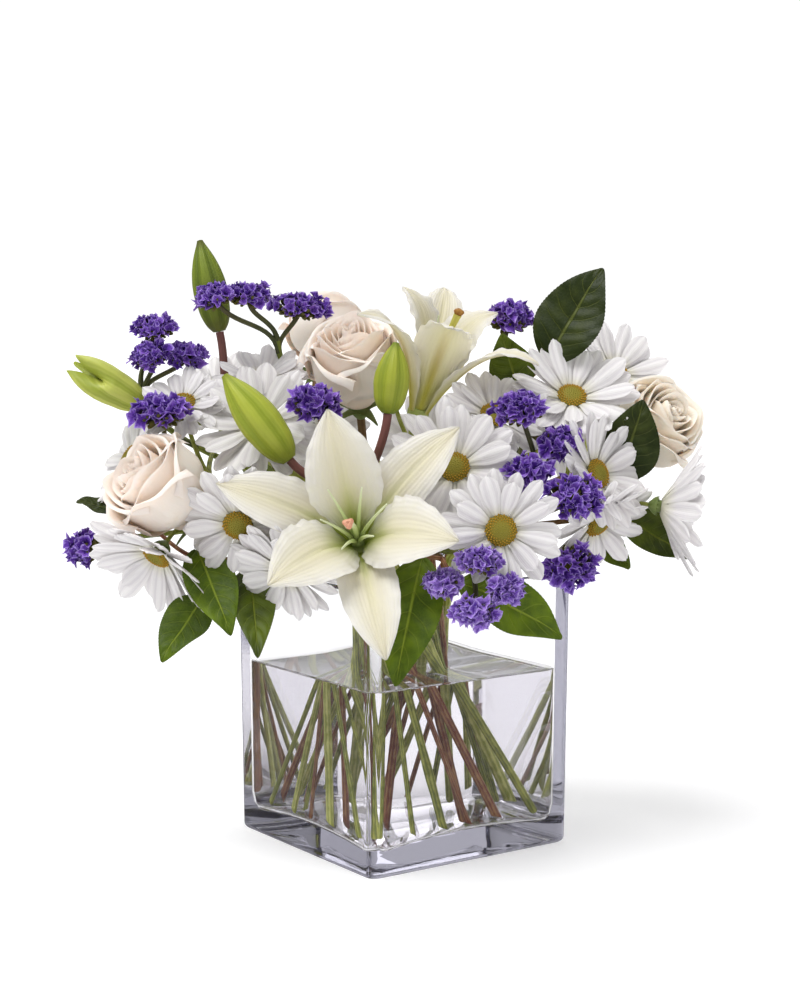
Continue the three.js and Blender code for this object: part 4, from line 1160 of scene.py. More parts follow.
@dataclass
class Stem:
    """A stem: straight from its foot to the neck, then bending to its end.

    It crosses the neck on its ring, and its foot stands on the vase's floor where a steady twist
    takes it.
    """

    name: str
    radius: float
    ring: Ring
    end: Point | Array
    lean: Point | Array
    finish: Finish = GREEN
    angle: float = 0.0

    def handles(self) -> tuple[Array, Array, Array, Array, Array]:
        """The points that the stem's angle round the neck gives it.

        Returns:
            The foot and the bend's four handles.
        """
        neck_radius = self.ring.value[0]
        swing = self.angle + TWIST
        in_vase = swing - BOUQUET_TURN
        to_wall = (INNER_HALF - FOOT_MARGIN) / max(abs(math.cos(in_vase)), abs(math.sin(in_vase)))
        foot_radius = INNER_FOOT if self.ring is Ring.INNER else min(to_wall, FOOT_CORNER)
        neck = np.array([neck_radius * math.cos(self.angle), neck_radius * math.sin(self.angle), NECK_HEIGHT])
        foot = np.array([foot_radius * math.cos(swing), foot_radius * math.sin(swing), FOOT_HEIGHT])
        end = np.array(self.end, float)
        span = BEND_PULL * np.linalg.norm(end - neck)
        return foot, neck, neck + unit(neck - foot) * span, end - unit(self.lean) * span, end

    def bend(self, t: Array | float) -> Array:
        """Points of the bend above the neck, at parts t of it."""
        _, *handles = self.handles()
        return cubic(*handles, t)

    def grow(self, skin: Skin, seed: int) -> None:
        """Adds the stem with a slanting cut at its foot and a few swollen joints.

        The radius is its own, wider by a sixth at each joint, and the lowest ring is sheared along
        the stem so that the cut slants.

        Args:
            skin: Where it is added.
            seed: Seeds where its joints are.
        """
        rng = np.random.default_rng(seed)
        foot, *handles = self.handles()
        low = foot + (handles[0] - foot) * np.linspace(0, 1, 22)[:-1, None]
        path = np.concatenate([low, cubic(*handles, np.linspace(0, 1, 22))])
        wander = np.sin(np.linspace(0, 3.1 * math.pi, len(path)) + rng.uniform(0, 6)) * WANDER
        path = path + wander[:, None] * unit(np.cross(path[-1] - path[0], [0.3, 1.0, 0.2]))
        row = np.arange(len(path))
        joints = rng.uniform(3, len(path) - 4, JOINTS)[:, None]
        swelling = np.exp(-((row - joints) ** 2) / 0.5).sum(axis=0)
        radii = self.radius * (1 + JOINT_SWELL * swelling - STEM_TAPER * row / len(path))
        grid = round_grid(path, radii, 12)
        turn = np.linspace(0, 2 * math.pi, 13)
        up = unit(handles[0] - foot)
        grid[1] = grid[1] + ((1 + np.cos(turn + seed)) * self.radius * 0.9)[:, None] * up
        grid[0] = grid[1, :-1].mean(axis=0)
        skin.grid(grid, self.finish, rng.random(), flip=True)


@dataclass(frozen=True)
class Branch:
    """A side branch: it leaves its stem along it and reaches its end in its own direction."""

    stem: Stem
    part: float
    end: Array
    lean: Array
    radius: float
    finish: Finish = GREEN

    def path(self, steps: int = 14) -> Array:
        """The branch's middle line: a cubic curve with handles of two fifths of its span.

        Args:
            steps: How many points it has.

        Returns:
            The points.
        """
        near = self.stem.bend(np.array([self.part - 0.002, min(self.part, 1.0), self.part + 0.002]))
        rise = unit(near[2] - near[0])
        root = near[1]
        span = BRANCH_PULL * np.linalg.norm(self.end - root)
        into = self.end - unit(self.lean) * span
        return cubic(root, root + rise * span, into, self.end, np.linspace(0, 1, steps))

    def grow(self, skin: Skin, narrow: float = 0.75) -> None:
        """Adds the branch, swollen where it leaves the stem.

        Args:
            skin: Where it is added.
            narrow: Its radius at the end, as a share of that at the start.
        """
        path = self.path()
        share = np.linspace(0, 1, len(path))
        radii = self.radius * (1 - (1 - narrow) * smooth(share) + 0.3 * np.exp(-((share / 0.12) ** 2)))
        skin.bar(path, radii, self.finish, 9)


def rose_stem(name: str, radius: float, ring: Ring) -> Stem:
    """A stem that ends in the hip of the rose of its name."""
    rose = ROSES[name]
    return Stem(name, radius, ring, rose.seat.place - HIP_LENGTH * rose.seat.axis, rose.seat.axis, RED)


def arrange(stems: list[Stem]) -> dict[str, Stem]:
    """Spaces the stems round the two rings of the neck by how thick they are.

    Args:
        stems: The stems in their order round each ring.

    Returns:
        The stems by name.
    """
    for ring in Ring:
        members = [stem for stem in stems if stem.ring is ring]
        share = np.array([2 * stem.radius + STEM_SHARE for stem in members])
        steps = (share + np.roll(share, -1)) / 2 / share.sum() * 2 * math.pi
        turns = math.radians(ring.value[1]) + np.concatenate([[0.0], np.cumsum(steps)[:-1]])
        for stem, turn in zip(members, turns):
            stem.angle = float(turn)
    return {stem.name: stem for stem in stems}


# ---- lilies


@dataclass(frozen=True)
class Rib:
    """A midrib in its own x-z plane: a cubic curve between two points with a slope at each."""

    start: tuple[float, float]
    start_slope: float
    tip: tuple[float, float]
    tip_slope: float
    pull: float = 0.38

    def sheet(self, u: Array, s: Array, lift: Array) -> Array:
        """A surface about the midrib: s millimetres to its side and lifted square to it.

        Args:
            u: Parts along the midrib.
            s: Distance to the side at each point of the grid.
            lift: Height above the midrib at each point of the grid.

        Returns:
            The grid of points.
        """
        start, tip = np.array(self.start), np.array(self.tip)
        pull = self.pull * np.linalg.norm(tip - start)
        a, b = math.radians(self.start_slope), math.radians(self.tip_slope)
        first = start + pull * np.array([math.cos(a), math.sin(a)])
        last = tip - pull * np.array([math.cos(b), math.sin(b)])
        line = cubic(start, first, last, tip, u)
        slope = unit(cubic(start, first, last, tip, u + 0.005) - cubic(start, first, last, tip, u - 0.005))
        x = line[:, None, 0] - slope[:, None, 1] * lift
        z = line[:, None, 1] + slope[:, None, 0] * lift
        return np.stack([x, s, z], axis=-1)


def turned_about_z(points: Array, angle: Array | float) -> Array:
    """Points turned about the z axis.

    Args:
        points: Points along the last axis.
        angle: One angle, or one for each leading copy.

    Returns:
        The turned points.
    """
    angle = np.reshape(angle, (-1,) + (1,) * (points.ndim - 2)) if np.ndim(angle) else angle
    c, s = np.cos(angle), np.sin(angle)
    x, y, z = points[..., 0], points[..., 1], points[..., 2]
    return np.stack([x * c - y * s, x * s + y * c, z + 0 * x * c], axis=-1)


LILY_THROAT: Profile = ((0, -5), (3.6, -4.2), (5.2, -1.5), (5.9, 2), (5.2, 5), (0, 5.8))
LILY_BASE: Profile = ((0, 6.5), (2.8, 7.0), (3.4, 8.2), (2.6, 11.5), (1.4, 12.8), (0, 13))
LILY_STIGMA: Profile = ((0, -2.2), (1.3, -1.9), (2.3, -0.6), (3, 0.7), (2.6, 1.6), (1.2, 2), (0.4, 1.3), (0, 1.2))
USUAL_SPREAD = 53.0  # reach of the inner tepals at which the filaments lean out in full


@dataclass(frozen=True)
class Lily:
    """An open lily: three outer and three wider inner tepals round a heart of six filaments."""

    name: str
    seat: Seat
    outer: tuple[float, float]
    inner: tuple[float, float]
    wide: float
    stigma: Point
    pistil: tuple[Finish, Finish]
    under: Finish = IVORY
    outer_width: float = 29.0
    inner_width: float = 37.0
    claw: float = 4.5
    blunt: float = 1.0
    fullest: float = 0.5
    thick: float = 1.1
    rows: int = 44
    columns: int = 29

    def tepal(self, inner: bool, seed: int) -> Array:
        """One tepal's middle surface.

        Its width grows from the claw by an S-shaped rise and closes to a blunt point by a cosine.
        It lies in a shallow trough with a groove along the midrib, and its sides wave, the more the
        farther out they are.

        Args:
            inner: Whether it is one of the three wide inner ones.
            seed: Seeds its waves.

        Returns:
            Points (rows, columns, 3) along +x.
        """
        rng = np.random.default_rng(seed)
        widest = (self.inner_width if inner else self.outer_width) * self.wide
        u = np.linspace(0, 1, self.rows)
        v = np.linspace(-1, 1, self.columns)
        rise = self.claw + (widest - self.claw) * smooth(u, 0, self.fullest)
        taper = np.clip((u - self.fullest) / (1 - self.fullest), 0, 1) ** 1.35
        fall = self.blunt + (widest - self.blunt) * np.cos(taper * math.pi / 2) ** 0.95
        half = np.where(u < self.fullest, rise, fall)[:, None] / 2
        phase = rng.uniform(0, 2 * math.pi, 4)
        side = np.sign(v)
        long_wave = np.sin(u[:, None] * 34 + phase[0] + side * phase[1])
        frill = long_wave * 0.6 + np.sin(u[:, None] * 57 + phase[2])
        edge = 1 + 0.014 * frill * smooth(u, 0.1, 0.4)[:, None] * np.abs(v) ** 3
        s = half * v * edge
        out = np.abs(s) / (widest / 2)
        body = smooth(u, 0.08, 0.35)[:, None]
        wave = (1.6 if inner else 0.8) * out**2 * np.sin(u[:, None] * 11 + side)
        ruffle = (0.75 if inner else 0.45) * frill * np.abs(v) ** 5 * body
        trough = 0.3 * np.abs(s) * (1 - u[:, None])
        groove = -0.9 * np.exp(-((s / 1.5) ** 2)) * body * smooth(u, 1.0, 0.7)[:, None]
        welts = 0.35 * np.cos(v * 3 * math.pi) * (1 - v**2) * body
        slope = (76, 4 if inner else -14)
        rib = Rib((2.6 if inner else 4.4, 0.0), slope[0], self.inner if inner else self.outer, slope[1])
        return rib.sheet(u, s, trough + wave + ruffle + groove + welts)

    def tepals(self) -> None:
        """The six tepals and the green-throated cone that they leave."""
        skin = Skin()
        for k in range(6):
            middle = turned_about_z(self.tepal(k % 2 == 1, 10 * k + len(self.name)), math.radians(60 * k))
            skin.blade(self.seat.put(middle), self.thick, IVORY, self.under)
        skin.grid(self.seat.put(lathe_grid(LILY_THROAT, 24)), GREEN_THROAT, flip=True)
        settle(skin, f"{self.name}_tepals")

    def filaments(self, skin: Skin) -> None:
        """Adds six tapered filaments that lean out along quadratic curves to uneven heights.

        Args:
            skin: The heart's skin.
        """
        spread = self.inner[0] / USUAL_SPREAD
        t = np.linspace(0, 1, 16)
        for k in range(6):
            turn = math.radians(60 * k + 30)
            out = np.array([math.cos(turn), math.sin(turn), 0.0])
            foot = out * 1.2 + [0, 0, 9]
            middle = out * 5 * spread + [0, 0, 30]
            tip = out * (15 + 2 * (k % 2)) * spread + [0, 0, 48 + 3 * (k % 3)]
            skin.bar(self.seat.put(quadratic(foot, middle, tip, t)), 1.15 - 0.75 * t**1.5, FILAMENT, 8)

    def style_and_stigma(self, skin: Skin) -> None:
        """Adds the style along a quadratic curve, and on it the stigma.

        The stigma's radius waves three times round, which gives its three lobes.

        Args:
            skin: The heart's skin.
        """
        style, top = self.pistil
        t = np.linspace(0, 1, 16)
        foot, middle, tip = np.array([0, 0, 10.0]), np.array([1, 0, 38.0]), np.array(self.stigma) - [0, 0, 1]
        radii = 1.55 - 0.3 * np.sin(math.pi * t) + 0.6 * t**6
        skin.bar(self.seat.put(quadratic(foot, middle, tip, t)), radii, style, 10)
        stigma = lathe_grid(LILY_STIGMA, 27)
        turn = np.linspace(0, 2 * math.pi, 28)
        stigma[..., :2] *= (0.86 + 0.16 * np.cos(3 * turn))[:, None]
        skin.grid(self.seat.put(stigma + self.stigma), top, flip=True)

    def heart(self) -> None:
        """Six filaments and the pistil on their small base."""
        skin = Skin()
        self.filaments(skin)
        self.style_and_stigma(skin)
        skin.grid(self.seat.put(lathe_grid(LILY_BASE, 18)), FILAMENT, flip=True)
        settle(skin, f"{self.name}_heart")


# Parts of a bud's length and the share of its radius that it has there.
BUD_PARTS = (0, 0.03, 0.1, 0.2, 0.42, 0.55, 0.68, 0.8, 0.88, 0.95, 1)
BUD_SWELL = (0.28, 0.5, 0.7, 0.87, 1.0, 0.96, 0.83, 0.63, 0.45, 0.27, 0.14)


@dataclass(frozen=True)
class Bud:
    """A long bud with six soft ribs, fullest below its middle, closed or parting into three lobes."""

    name: str
    base: Point
    tip: Point
    radius: float
    skin_finish: Finish
    parting: float = 0.0

    def seat(self) -> Seat:
        """Where it stands and which way it points."""
        base, tip = np.array(self.base, float), np.array(self.tip, float)
        return Seat(base, unit(tip - base))

    def grow(self) -> None:
        """Adds the bud.

        Its radius follows the table of its swelling, smoothed over five rows, and dips six times
        round in grooves narrower than the ribs. A parting bud's three lobes stand out and up by a
        cosine of three times the turn, round a hollow.
        """
        length = float(np.linalg.norm(np.array(self.tip) - np.array(self.base)))
        part = np.linspace(0, 1, 52)[:, None]
        turn = np.linspace(0, 2 * math.pi, 97)[None, :]
        kernel = np.array([1, 2, 3, 2, 1]) / 9
        padded = np.pad(np.interp(part, BUD_PARTS, BUD_SWELL)[:, 0], 2, mode="edge")
        swell = np.convolve(padded, kernel, mode="valid")[:, None]
        groove = (0.5 - 0.5 * np.cos(6 * turn)) ** 2.5
        deep = 0.10 * smooth(part, 0.0, 0.15) * (1 - 0.4 * smooth(part, 0.8, 1.0))
        lobe = 0.5 - 0.5 * np.cos(3 * turn)
        opened = self.parting * smooth(part, 0.3, 1.0)
        spread = swell * (1 - deep * groove) + opened * (0.50 * lobe**0.7 - 0.10)
        reach = self.radius * spread * (1 - 0.6 * opened * (1 - lobe) ** 2)
        height = part * length * (1 - 0.38 * opened * (1 - lobe) ** 1.2)
        bow = 0.9 * np.sin(math.pi * part)
        local = np.stack([reach * np.cos(turn) + bow, reach * np.sin(turn), height + 0 * turn], axis=-1)
        start = np.broadcast_to(np.array([0, 0, -0.2]), local[:1].shape)
        top = length * (1 - 0.5 * self.parting) + 0.3
        end = np.broadcast_to(np.array([0, 0, top]), local[:1].shape)
        skin = Skin()
        grid = self.seat().put(np.concatenate([start, local, end]))
        rows = np.concatenate([[0.0], part[:, 0], [1.0]])[:, None]
        across = np.broadcast_to(turn / (2 * math.pi), (len(rows), turn.shape[1]))
        skin.grid(grid, self.skin_finish, flip=True, spans=(np.broadcast_to(rows, across.shape), across))
        settle(skin, self.name)


# ---- roses


@dataclass(frozen=True)
class Whorl:
    """One round of petals: how many, the radii at their belly and lip, their height and their roll."""

    count: int
    belly: float
    lip: float
    top: float
    roll: float


# From the heart outwards.
WHORLS = (
    Whorl(2, 4.2, 3.2, 32.8, 0.2),
    Whorl(3, 6.8, 5.6, 33.4, 0.4),
    Whorl(3, 9.8, 8.6, 33.8, 0.8),
    Whorl(3, 13.2, 12.4, 33.8, 1.3),
    Whorl(3, 16.8, 16.4, 33.2, 1.9),
    Whorl(3, 20.2, 20.2, 31.6, 2.7),
    Whorl(4, 23.0, 23.8, 28.8, 3.6),
)
ROSE_CUP: Profile = ((0, 0.2), (8, 0.8), (12.5, 4), (15, 9), (13, 13), (0, 14))
ROSE_HIP: Profile = ((0, -9), (2.4, -8.6), (3.6, -7), (5.0, -4.4), (5.0, -2.2), (3.6, -0.6), (0, -0.4))
HIP_LENGTH = 7.5
SEPALS = 5


@dataclass(frozen=True)
class Rose:
    """A rose: a furled heart in seven whorls of petals that lap over each other and roll out."""

    name: str
    seat: Seat
    size: float
    petal: Finish = CREAM
    tall: float = 1.5
    rows: int = 22
    columns: int = 19

    def petal_sheet(self, number: int, turn: float, rng: np.random.Generator) -> Array:
        """One petal's middle surface.

        It stands on a cup: its radius swells from the hip to the belly by a sine and then runs to
        the lip, which rolls outwards and down over a quarter turn. Across, it covers its share of
        the circle and half as much again, with one side outside its neighbour, and its upper
        corners are rounded off.

        Args:
            number: Which whorl, counted from the heart.
            turn: Where it stands round the axis.
            rng: Draws its small differences.

        Returns:
            Points (rows, columns, 3).
        """
        whorl = WHORLS[number]
        u = np.linspace(0, 1, self.rows)[:, None]
        v = np.linspace(-1, 1, self.columns)[None, :]
        top = whorl.top * (1 + rng.uniform(-0.035, 0.035))
        half = math.pi / whorl.count * rng.uniform(1.35, 1.6)
        angle = turn + v * half * (0.45 + 0.55 * smooth(u, 0, 0.55)) * (1 - 0.10 * smooth(u, 0.8, 1.0))
        shoulder = 1 - (0.12 + 0.022 * number) * np.abs(v) ** 2.2
        height = 1.2 + (top - 1.2) * u**0.9 * (1 - (1 - shoulder) * u**2)
        radius = 3.0 + (whorl.belly - 3.0) * np.sin(np.clip(u / 0.5, 0, 1) * math.pi / 2) ** 0.9
        radius = radius + (whorl.lip - whorl.belly) * smooth(u, 0.45, 1.0)
        corner = np.abs(v + rng.uniform(-0.25, 0.25)) ** 1.5
        bent = smooth(u, 0.80, 1.0) ** 1.4 * whorl.roll * (0.65 + 0.5 * corner)
        radius = radius + bent
        height = height - 0.85 * bent * smooth(u, 0.88, 1.0)
        radius = radius + (1.1 + 0.12 * number) * v + 0.25 * number * np.abs(v) ** 4 * u
        phase = rng.uniform(0, 6, 2)
        radius = radius + 0.12 * number * np.sin(v * 5 + phase[0]) * u**3
        height = height + 0.16 * number * np.sin(v * 7 + phase[1]) * u**5
        height = height + 0.14 * number * np.exp(-((v / 0.2) ** 2)) * u**8
        crease = -0.08 * number * np.exp(-((v / 0.16) ** 2)) * smooth(u, 0.6, 1.0)
        radius = np.maximum(radius + crease, 0.6)
        return self.stretched(np.stack([radius * np.cos(angle), radius * np.sin(angle), height], axis=-1))

    def stretched(self, points: Array) -> Array:
        """Points of the rose in its real size: heights along its axis grow by its tallness."""
        return points * [self.size, self.size, self.size * self.tall]

    def furled(self) -> Array:
        """The heart's middle surface: a sheet rolled up, whose radius grows with the turn.

        Returns:
            Points (rows, columns, 3).
        """
        part = np.linspace(0, 1, 12)[:, None]
        turns = np.linspace(0, 5.2 * math.pi, 90)[None, :]
        radius = (0.5 + 0.19 * turns) * (1 + 0.15 * smooth(part, 0.7, 1.0)) + 0 * part
        height = (14 + 18.6 * part - 0.09 * turns * part) + 0.5 * np.sin(turns * 1.3) * part
        rolled = np.stack([radius * np.cos(turns), radius * np.sin(turns), height + 0 * turns], axis=-1)
        return self.stretched(rolled)

    def grow(self) -> None:
        """Adds the furled heart and all whorls of petals round it, on a closed cup."""
        rng = np.random.default_rng(len(self.name) * 7 + int(self.size * 100))
        skin = Skin()
        skin.blade(self.seat.put(self.furled()), 0.7, self.petal, tint=0.0)
        turn = 0.0
        for number, whorl in enumerate(WHORLS):
            for _ in range(whorl.count):
                turn += 2 * math.pi / whorl.count + rng.uniform(-0.08, 0.08)
                sheet = self.petal_sheet(number, turn, rng)
                skin.blade(self.seat.put(sheet), 0.8, self.petal, tint=number / (len(WHORLS) - 1))
            turn += GOLDEN
        cup = self.stretched(lathe_grid(ROSE_CUP, 30))
        low = np.zeros(cup.shape[:2])
        skin.grid(self.seat.put(cup), self.petal, 0.6, flip=True, spans=(low, low))
        settle(skin, f"{self.name}_petals")

    def stem(self, stem: Stem) -> None:
        """Adds the stem, its swollen hip and five pointed sepals.

        Args:
            stem: The stem that ends in the hip.
        """
        skin = Skin()
        stem.grow(skin, len(self.name))
        skin.grid(self.seat.put(lathe_grid(ROSE_HIP, 20)), CUP, flip=True)
        u = np.linspace(0, 1, 14)
        v = np.linspace(-1, 1, 7)
        half = (7 * (1 - u) + 0.8)[:, None] / 2
        s = half * v
        rib = Rib((3, -3.4), 20, (22 * self.size, -3), -15)
        for k in range(SEPALS):
            sheet = turned_about_z(rib.sheet(u, s, 0.12 * np.abs(s)), math.radians(360 / SEPALS * k))
            skin.blade(self.seat.put(sheet), 0.9, CUP)
        settle(skin, f"{self.name}_stem")


# ---- daisies


DAISY_CUP: Profile = ((0, -7), (1.5, -6.8), (3.6, -4.6), (4.9, -2.8), (3.4, -2.1), (3.0, 0), (3.0, 1.4))
DAISY_DOME: Profile = ((3.0, 1.4), (6.8, 2.2), (7.7, 2.9), (7.2, 3.5), (5, 4.6), (2.5, 5.2), (0, 5.3))
DAISY_BEAD: Profile = ((0, -0.4), (0.36, 0), (0.42, 0.55), (0, 0.95))
DAISY_FLORETS = 130
DAISY_SCALES = 14
UPPER_FEWER = 6  # petals that the upper ring has less than the lower one
CLAW_AT = 4.2  # where the petals start, from the bloom's axis
OPEN_AT = 6.5  # where they leave the disc


@dataclass(frozen=True)
class Daisy:
    """A daisy bloom: two rings of creased petals round a domed disc."""

    place: Point
    face: tuple[float, float]
    radius: float
    part: float
    rise: float = 0.22
    petals: int = 15
    rows: int = 10
    columns: int = 9

    def seat(self, number: int = 0) -> Seat:
        """Where it stands; the bloom's number turns it about itself."""
        return Seat(np.array(self.place, float), facing(*self.face), 17.0 * number)

    def ring(self, layer: int, rng: np.random.Generator) -> Array:
        """The middle surfaces of one ring of petals.

        With o its reach past the disc, a petal's height is rise times o less droop times o times x
        over the radius; each petal draws a droop of its own. Its width grows from a narrow claw,
        stays, and closes to a blunt tip. Two creases run along it.

        Args:
            layer: 0 for the lower ring, 1 for the shorter one above it.
            rng: Draws each petal's own reach, droop, swing and twist.

        Returns:
            Points (petals, rows, columns, 3).
        """
        count = self.petals - UPPER_FEWER * layer
        draw = rng.uniform(-1, 1, (5, count, 1, 1))
        u = (1 - (1 - np.linspace(0, 1, self.rows)) ** 1.6)[None, :, None]
        v = np.linspace(-1, 1, self.columns)[None, None, :]
        reach = self.radius * (0.99 - 0.13 * layer + 0.07 * draw[0])
        x = CLAW_AT + (reach - CLAW_AT) * u - 0.9 * np.abs(v) ** 2 * u**8
        widest = self.radius * 0.142 * (1 + 0.12 * draw[1])
        tip = np.sqrt(1 - 0.86 * smooth(u, 0.80, 1.0) ** 1.5)
        half = widest * (0.22 + 0.78 * smooth(u, -0.05, 0.62)) * tip
        y = half * v + draw[2] * 0.05 * self.radius * u**2
        over = x - OPEN_AT
        droop = 0.10 + 0.13 * draw[3] - 0.06 * layer
        z = 1.2 + 1.3 * layer + over * (self.rise + 0.10 * layer) - droop * over * x / self.radius
        z = z + 0.28 * np.cos(2 * math.pi * v) * smooth(u, 0, 0.3) - 0.7 * v**2 * np.sin(math.pi * u)
        z = z + (0.16 + 0.16 * draw[4]) * v * half * smooth(u, 0.1, 0.6)
        grid = np.stack(np.broadcast_arrays(x, y, z), axis=-1)
        step = 2 * math.pi / count
        turns = np.arange(count) * step + layer * 0.5 * step + rng.uniform(-0.18, 0.18, count) * step
        return turned_about_z(grid, turns)

    def grow(self, number: int) -> None:
        """Adds the petals of one bloom.

        Args:
            number: The bloom's number, which seeds its small differences.
        """
        rng = np.random.default_rng(number)
        skin = Skin()
        for layer in (0, 1):
            rings = self.seat(number).put(self.ring(layer, rng))
            skin.blade(rings, 0.75, WHITE, tint=rng.random(len(rings)))
        settle(skin, f"daisy_{number}")

    def heart(self, skin: Skin, stem: Stem) -> None:
        """Adds the bloom's branch, its green cup with its scales, and its disc of florets.

        Args:
            skin: The spray's skin.
            stem: The stem that the branch leaves.
        """
        seat = self.seat()
        Branch(stem, self.part, seat.place - 5 * seat.axis, seat.axis, 1.5, stem.finish).grow(skin)
        skin.grid(seat.put(lathe_grid(DAISY_CUP, 20)), CUP, flip=True)
        skin.grid(seat.put(lathe_grid(DAISY_DOME, 20)), DISC, 0.3, flip=True)
        turn = np.arange(DAISY_SCALES) * 2 * math.pi / DAISY_SCALES
        u = np.linspace(0, 1, 5)
        s = (1.1 * np.sin(math.pi * np.clip(u * 0.8 + 0.15, 0, 1)))[:, None] * np.linspace(-1, 1, 3)
        leaflet = Rib((2.6, -5.8), 40, (5.4, -1.6), 75).sheet(u, s, 0.3 + 0 * s)
        many = turned_about_z(np.broadcast_to(leaflet, (DAISY_SCALES, *leaflet.shape)), turn)
        skin.blade(seat.put(many), 0.5, CUP)
        self.florets(skin, seat)

    def florets(self, skin: Skin, seat: Seat) -> None:
        """Adds the florets, which stand at the golden angle on a dome.

        The n-th one stands at the square root of its share of the disc, times the disc's radius.

        Args:
            skin: The spray's skin.
            seat: Where the bloom stands.
        """
        n = np.arange(DAISY_FLORETS)
        share = np.sqrt((n + 0.5) / DAISY_FLORETS)
        radius = 7.35 * share
        lean = share * 0.8
        height = 5.1 - 2.4 * share**2.6
        c, s = np.cos(n * GOLDEN), np.sin(n * GOLDEN)
        places = np.stack([radius * c, radius * s, height], axis=-1)
        tilt = np.stack([c * lean, s * lean, np.ones(DAISY_FLORETS)], axis=-1)
        sizes = 0.75 + 0.55 * smooth(share, 0.5, 0.75)
        beads = scatter(lathe_grid(DAISY_BEAD, 5), places, tilt, n * 1.0, sizes)
        skin.grid(seat.put(beads), DISC, share, flip=True)


# ---- statice


FLORET: Profile = ((0, -4.6), (0.7, -3.2), (1.0, -0.6), (1.6, 1.4), (3.1, 3.0), (1.2, 1.2), (0, -0.6))
FLORET_RIM = (0, 0, 0.1, 0.5, 1.0, 0.4, 0)  # how much each ring of it is crumpled
FLORET_REACH = (0, 0.1, 0.3, 0.62, 1.0, 0.75, 0.66)  # how far out each ring of it counts for its colour
FLORET_SIDES = 12
HUSK_SHAPE: Profile = ((0, -3.2), (0.8, -2.4), (1.15, -0.2), (0.95, 1.6), (0.4, 2.4), (0, 2.5))
CORE: Profile = ((0, -0.5), (0.3, -0.42), (0.46, -0.1), (0.44, 0.2), (0.24, 0.42), (0, 0.5))


@dataclass(frozen=True)
class Comb:
    """A comb of papery florets, close together over the upper side of a small egg-shaped core."""

    place: Point
    size: tuple[float, float]
    face: Point
    part: float
    florets: int = 46
    cover: float = 1.15  # how far down the core the florets wind, of 2

    def wound(self, n: Array, height: Array) -> Array:
        """Places on a ball that wind round it at the golden angle, each at its height."""
        flat = np.sqrt(1 - height**2)
        return np.stack([flat * np.cos(n * GOLDEN), flat * np.sin(n * GOLDEN), height], axis=-1)

    def funnels(self, turn: Array, rng: np.random.Generator) -> Array:
        """One crumpled funnel for each floret, its rim waving five times round.

        Args:
            turn: Angles round the funnel, with both ends.
            rng: Draws the crumpling.

        Returns:
            Points (florets, rings, angles, 3) about each floret's own seat.
        """
        rim = np.array(FLORET_RIM)[:, None]
        crumple = rng.normal(0, 1, (2, self.florets, 1, FLORET_SIDES))
        crumple = np.concatenate([crumple, crumple[..., :1]], axis=-1)
        one = lathe_grid(FLORET, FLORET_SIDES)
        many = np.broadcast_to(one, (self.florets, *one.shape)).copy()
        many[..., :2] *= (1 + rim * (0.18 * np.cos(5 * turn) + 0.26 * crumple[0]))[..., None]
        many[..., 2] += rim * (0.5 * np.cos(5 * turn + 0.6) + 0.95 * crumple[1])
        return many

    def grow(self, skin: Skin, stem: Stem, seed: int, petal: Finish) -> None:
        """Adds the comb: branch, florets, the green-brown husks below them, and the core.

        The florets' places wind down the egg at the golden angle, each pointing out from the
        core's lower middle.

        Args:
            skin: The sprig's skin.
            stem: The stem that the branch leaves.
            seed: Seeds the small differences.
            petal: What the florets are dressed in.
        """
        rng = np.random.default_rng(seed)
        seat = Seat(np.array(self.place, float), unit(self.face))
        Branch(stem, self.part, seat.place, seat.axis, 1.3, WINGED).grow(skin, 1.0)
        long, deep = self.size
        stretch = np.array([long, 0.7 * long, deep])
        n = np.arange(self.florets)
        down = (n + 0.5) / self.florets * self.cover
        ball = self.wound(n, 1 - down)
        places = ball * stretch * [0.88, 0.75, 0.62] * rng.uniform(0.66, 1.18, (self.florets, 1))
        out = unit(ball * [1.0, 0.9, 0.6] + [0, 0, 0.55] + rng.uniform(-0.3, 0.3, ball.shape))
        turn = np.linspace(0, 2 * math.pi, FLORET_SIDES + 1)
        funnels = self.funnels(turn, rng)
        sizes = rng.uniform(0.72, 1.22, self.florets) * min(1.0, 0.62 + deep / 32)
        rolls = rng.uniform(0, 6.3, self.florets)
        placed = scatter(funnels, places, out, rolls, sizes)
        reach = np.array(FLORET_REACH)[:, None] + 0 * turn
        across = np.broadcast_to(turn / (2 * math.pi), reach.shape)
        skin.grid(seat.put(placed), petal, rng.random(self.florets), flip=True, spans=(reach, across))
        low = self.wound(n, 0.4 - down)
        places = low * stretch * [0.74, 0.66, 0.52]
        placed = scatter(lathe_grid(HUSK_SHAPE, 6), places, unit(low + [0, 0, 0.45]), rolls, sizes * 1.15)
        skin.grid(seat.put(placed), HUSK, rng.random(self.florets), flip=True)
        skin.grid(seat.put(lathe_grid(CORE, 12) * stretch), HUSK, 0.2, flip=True)


# ---- leaves


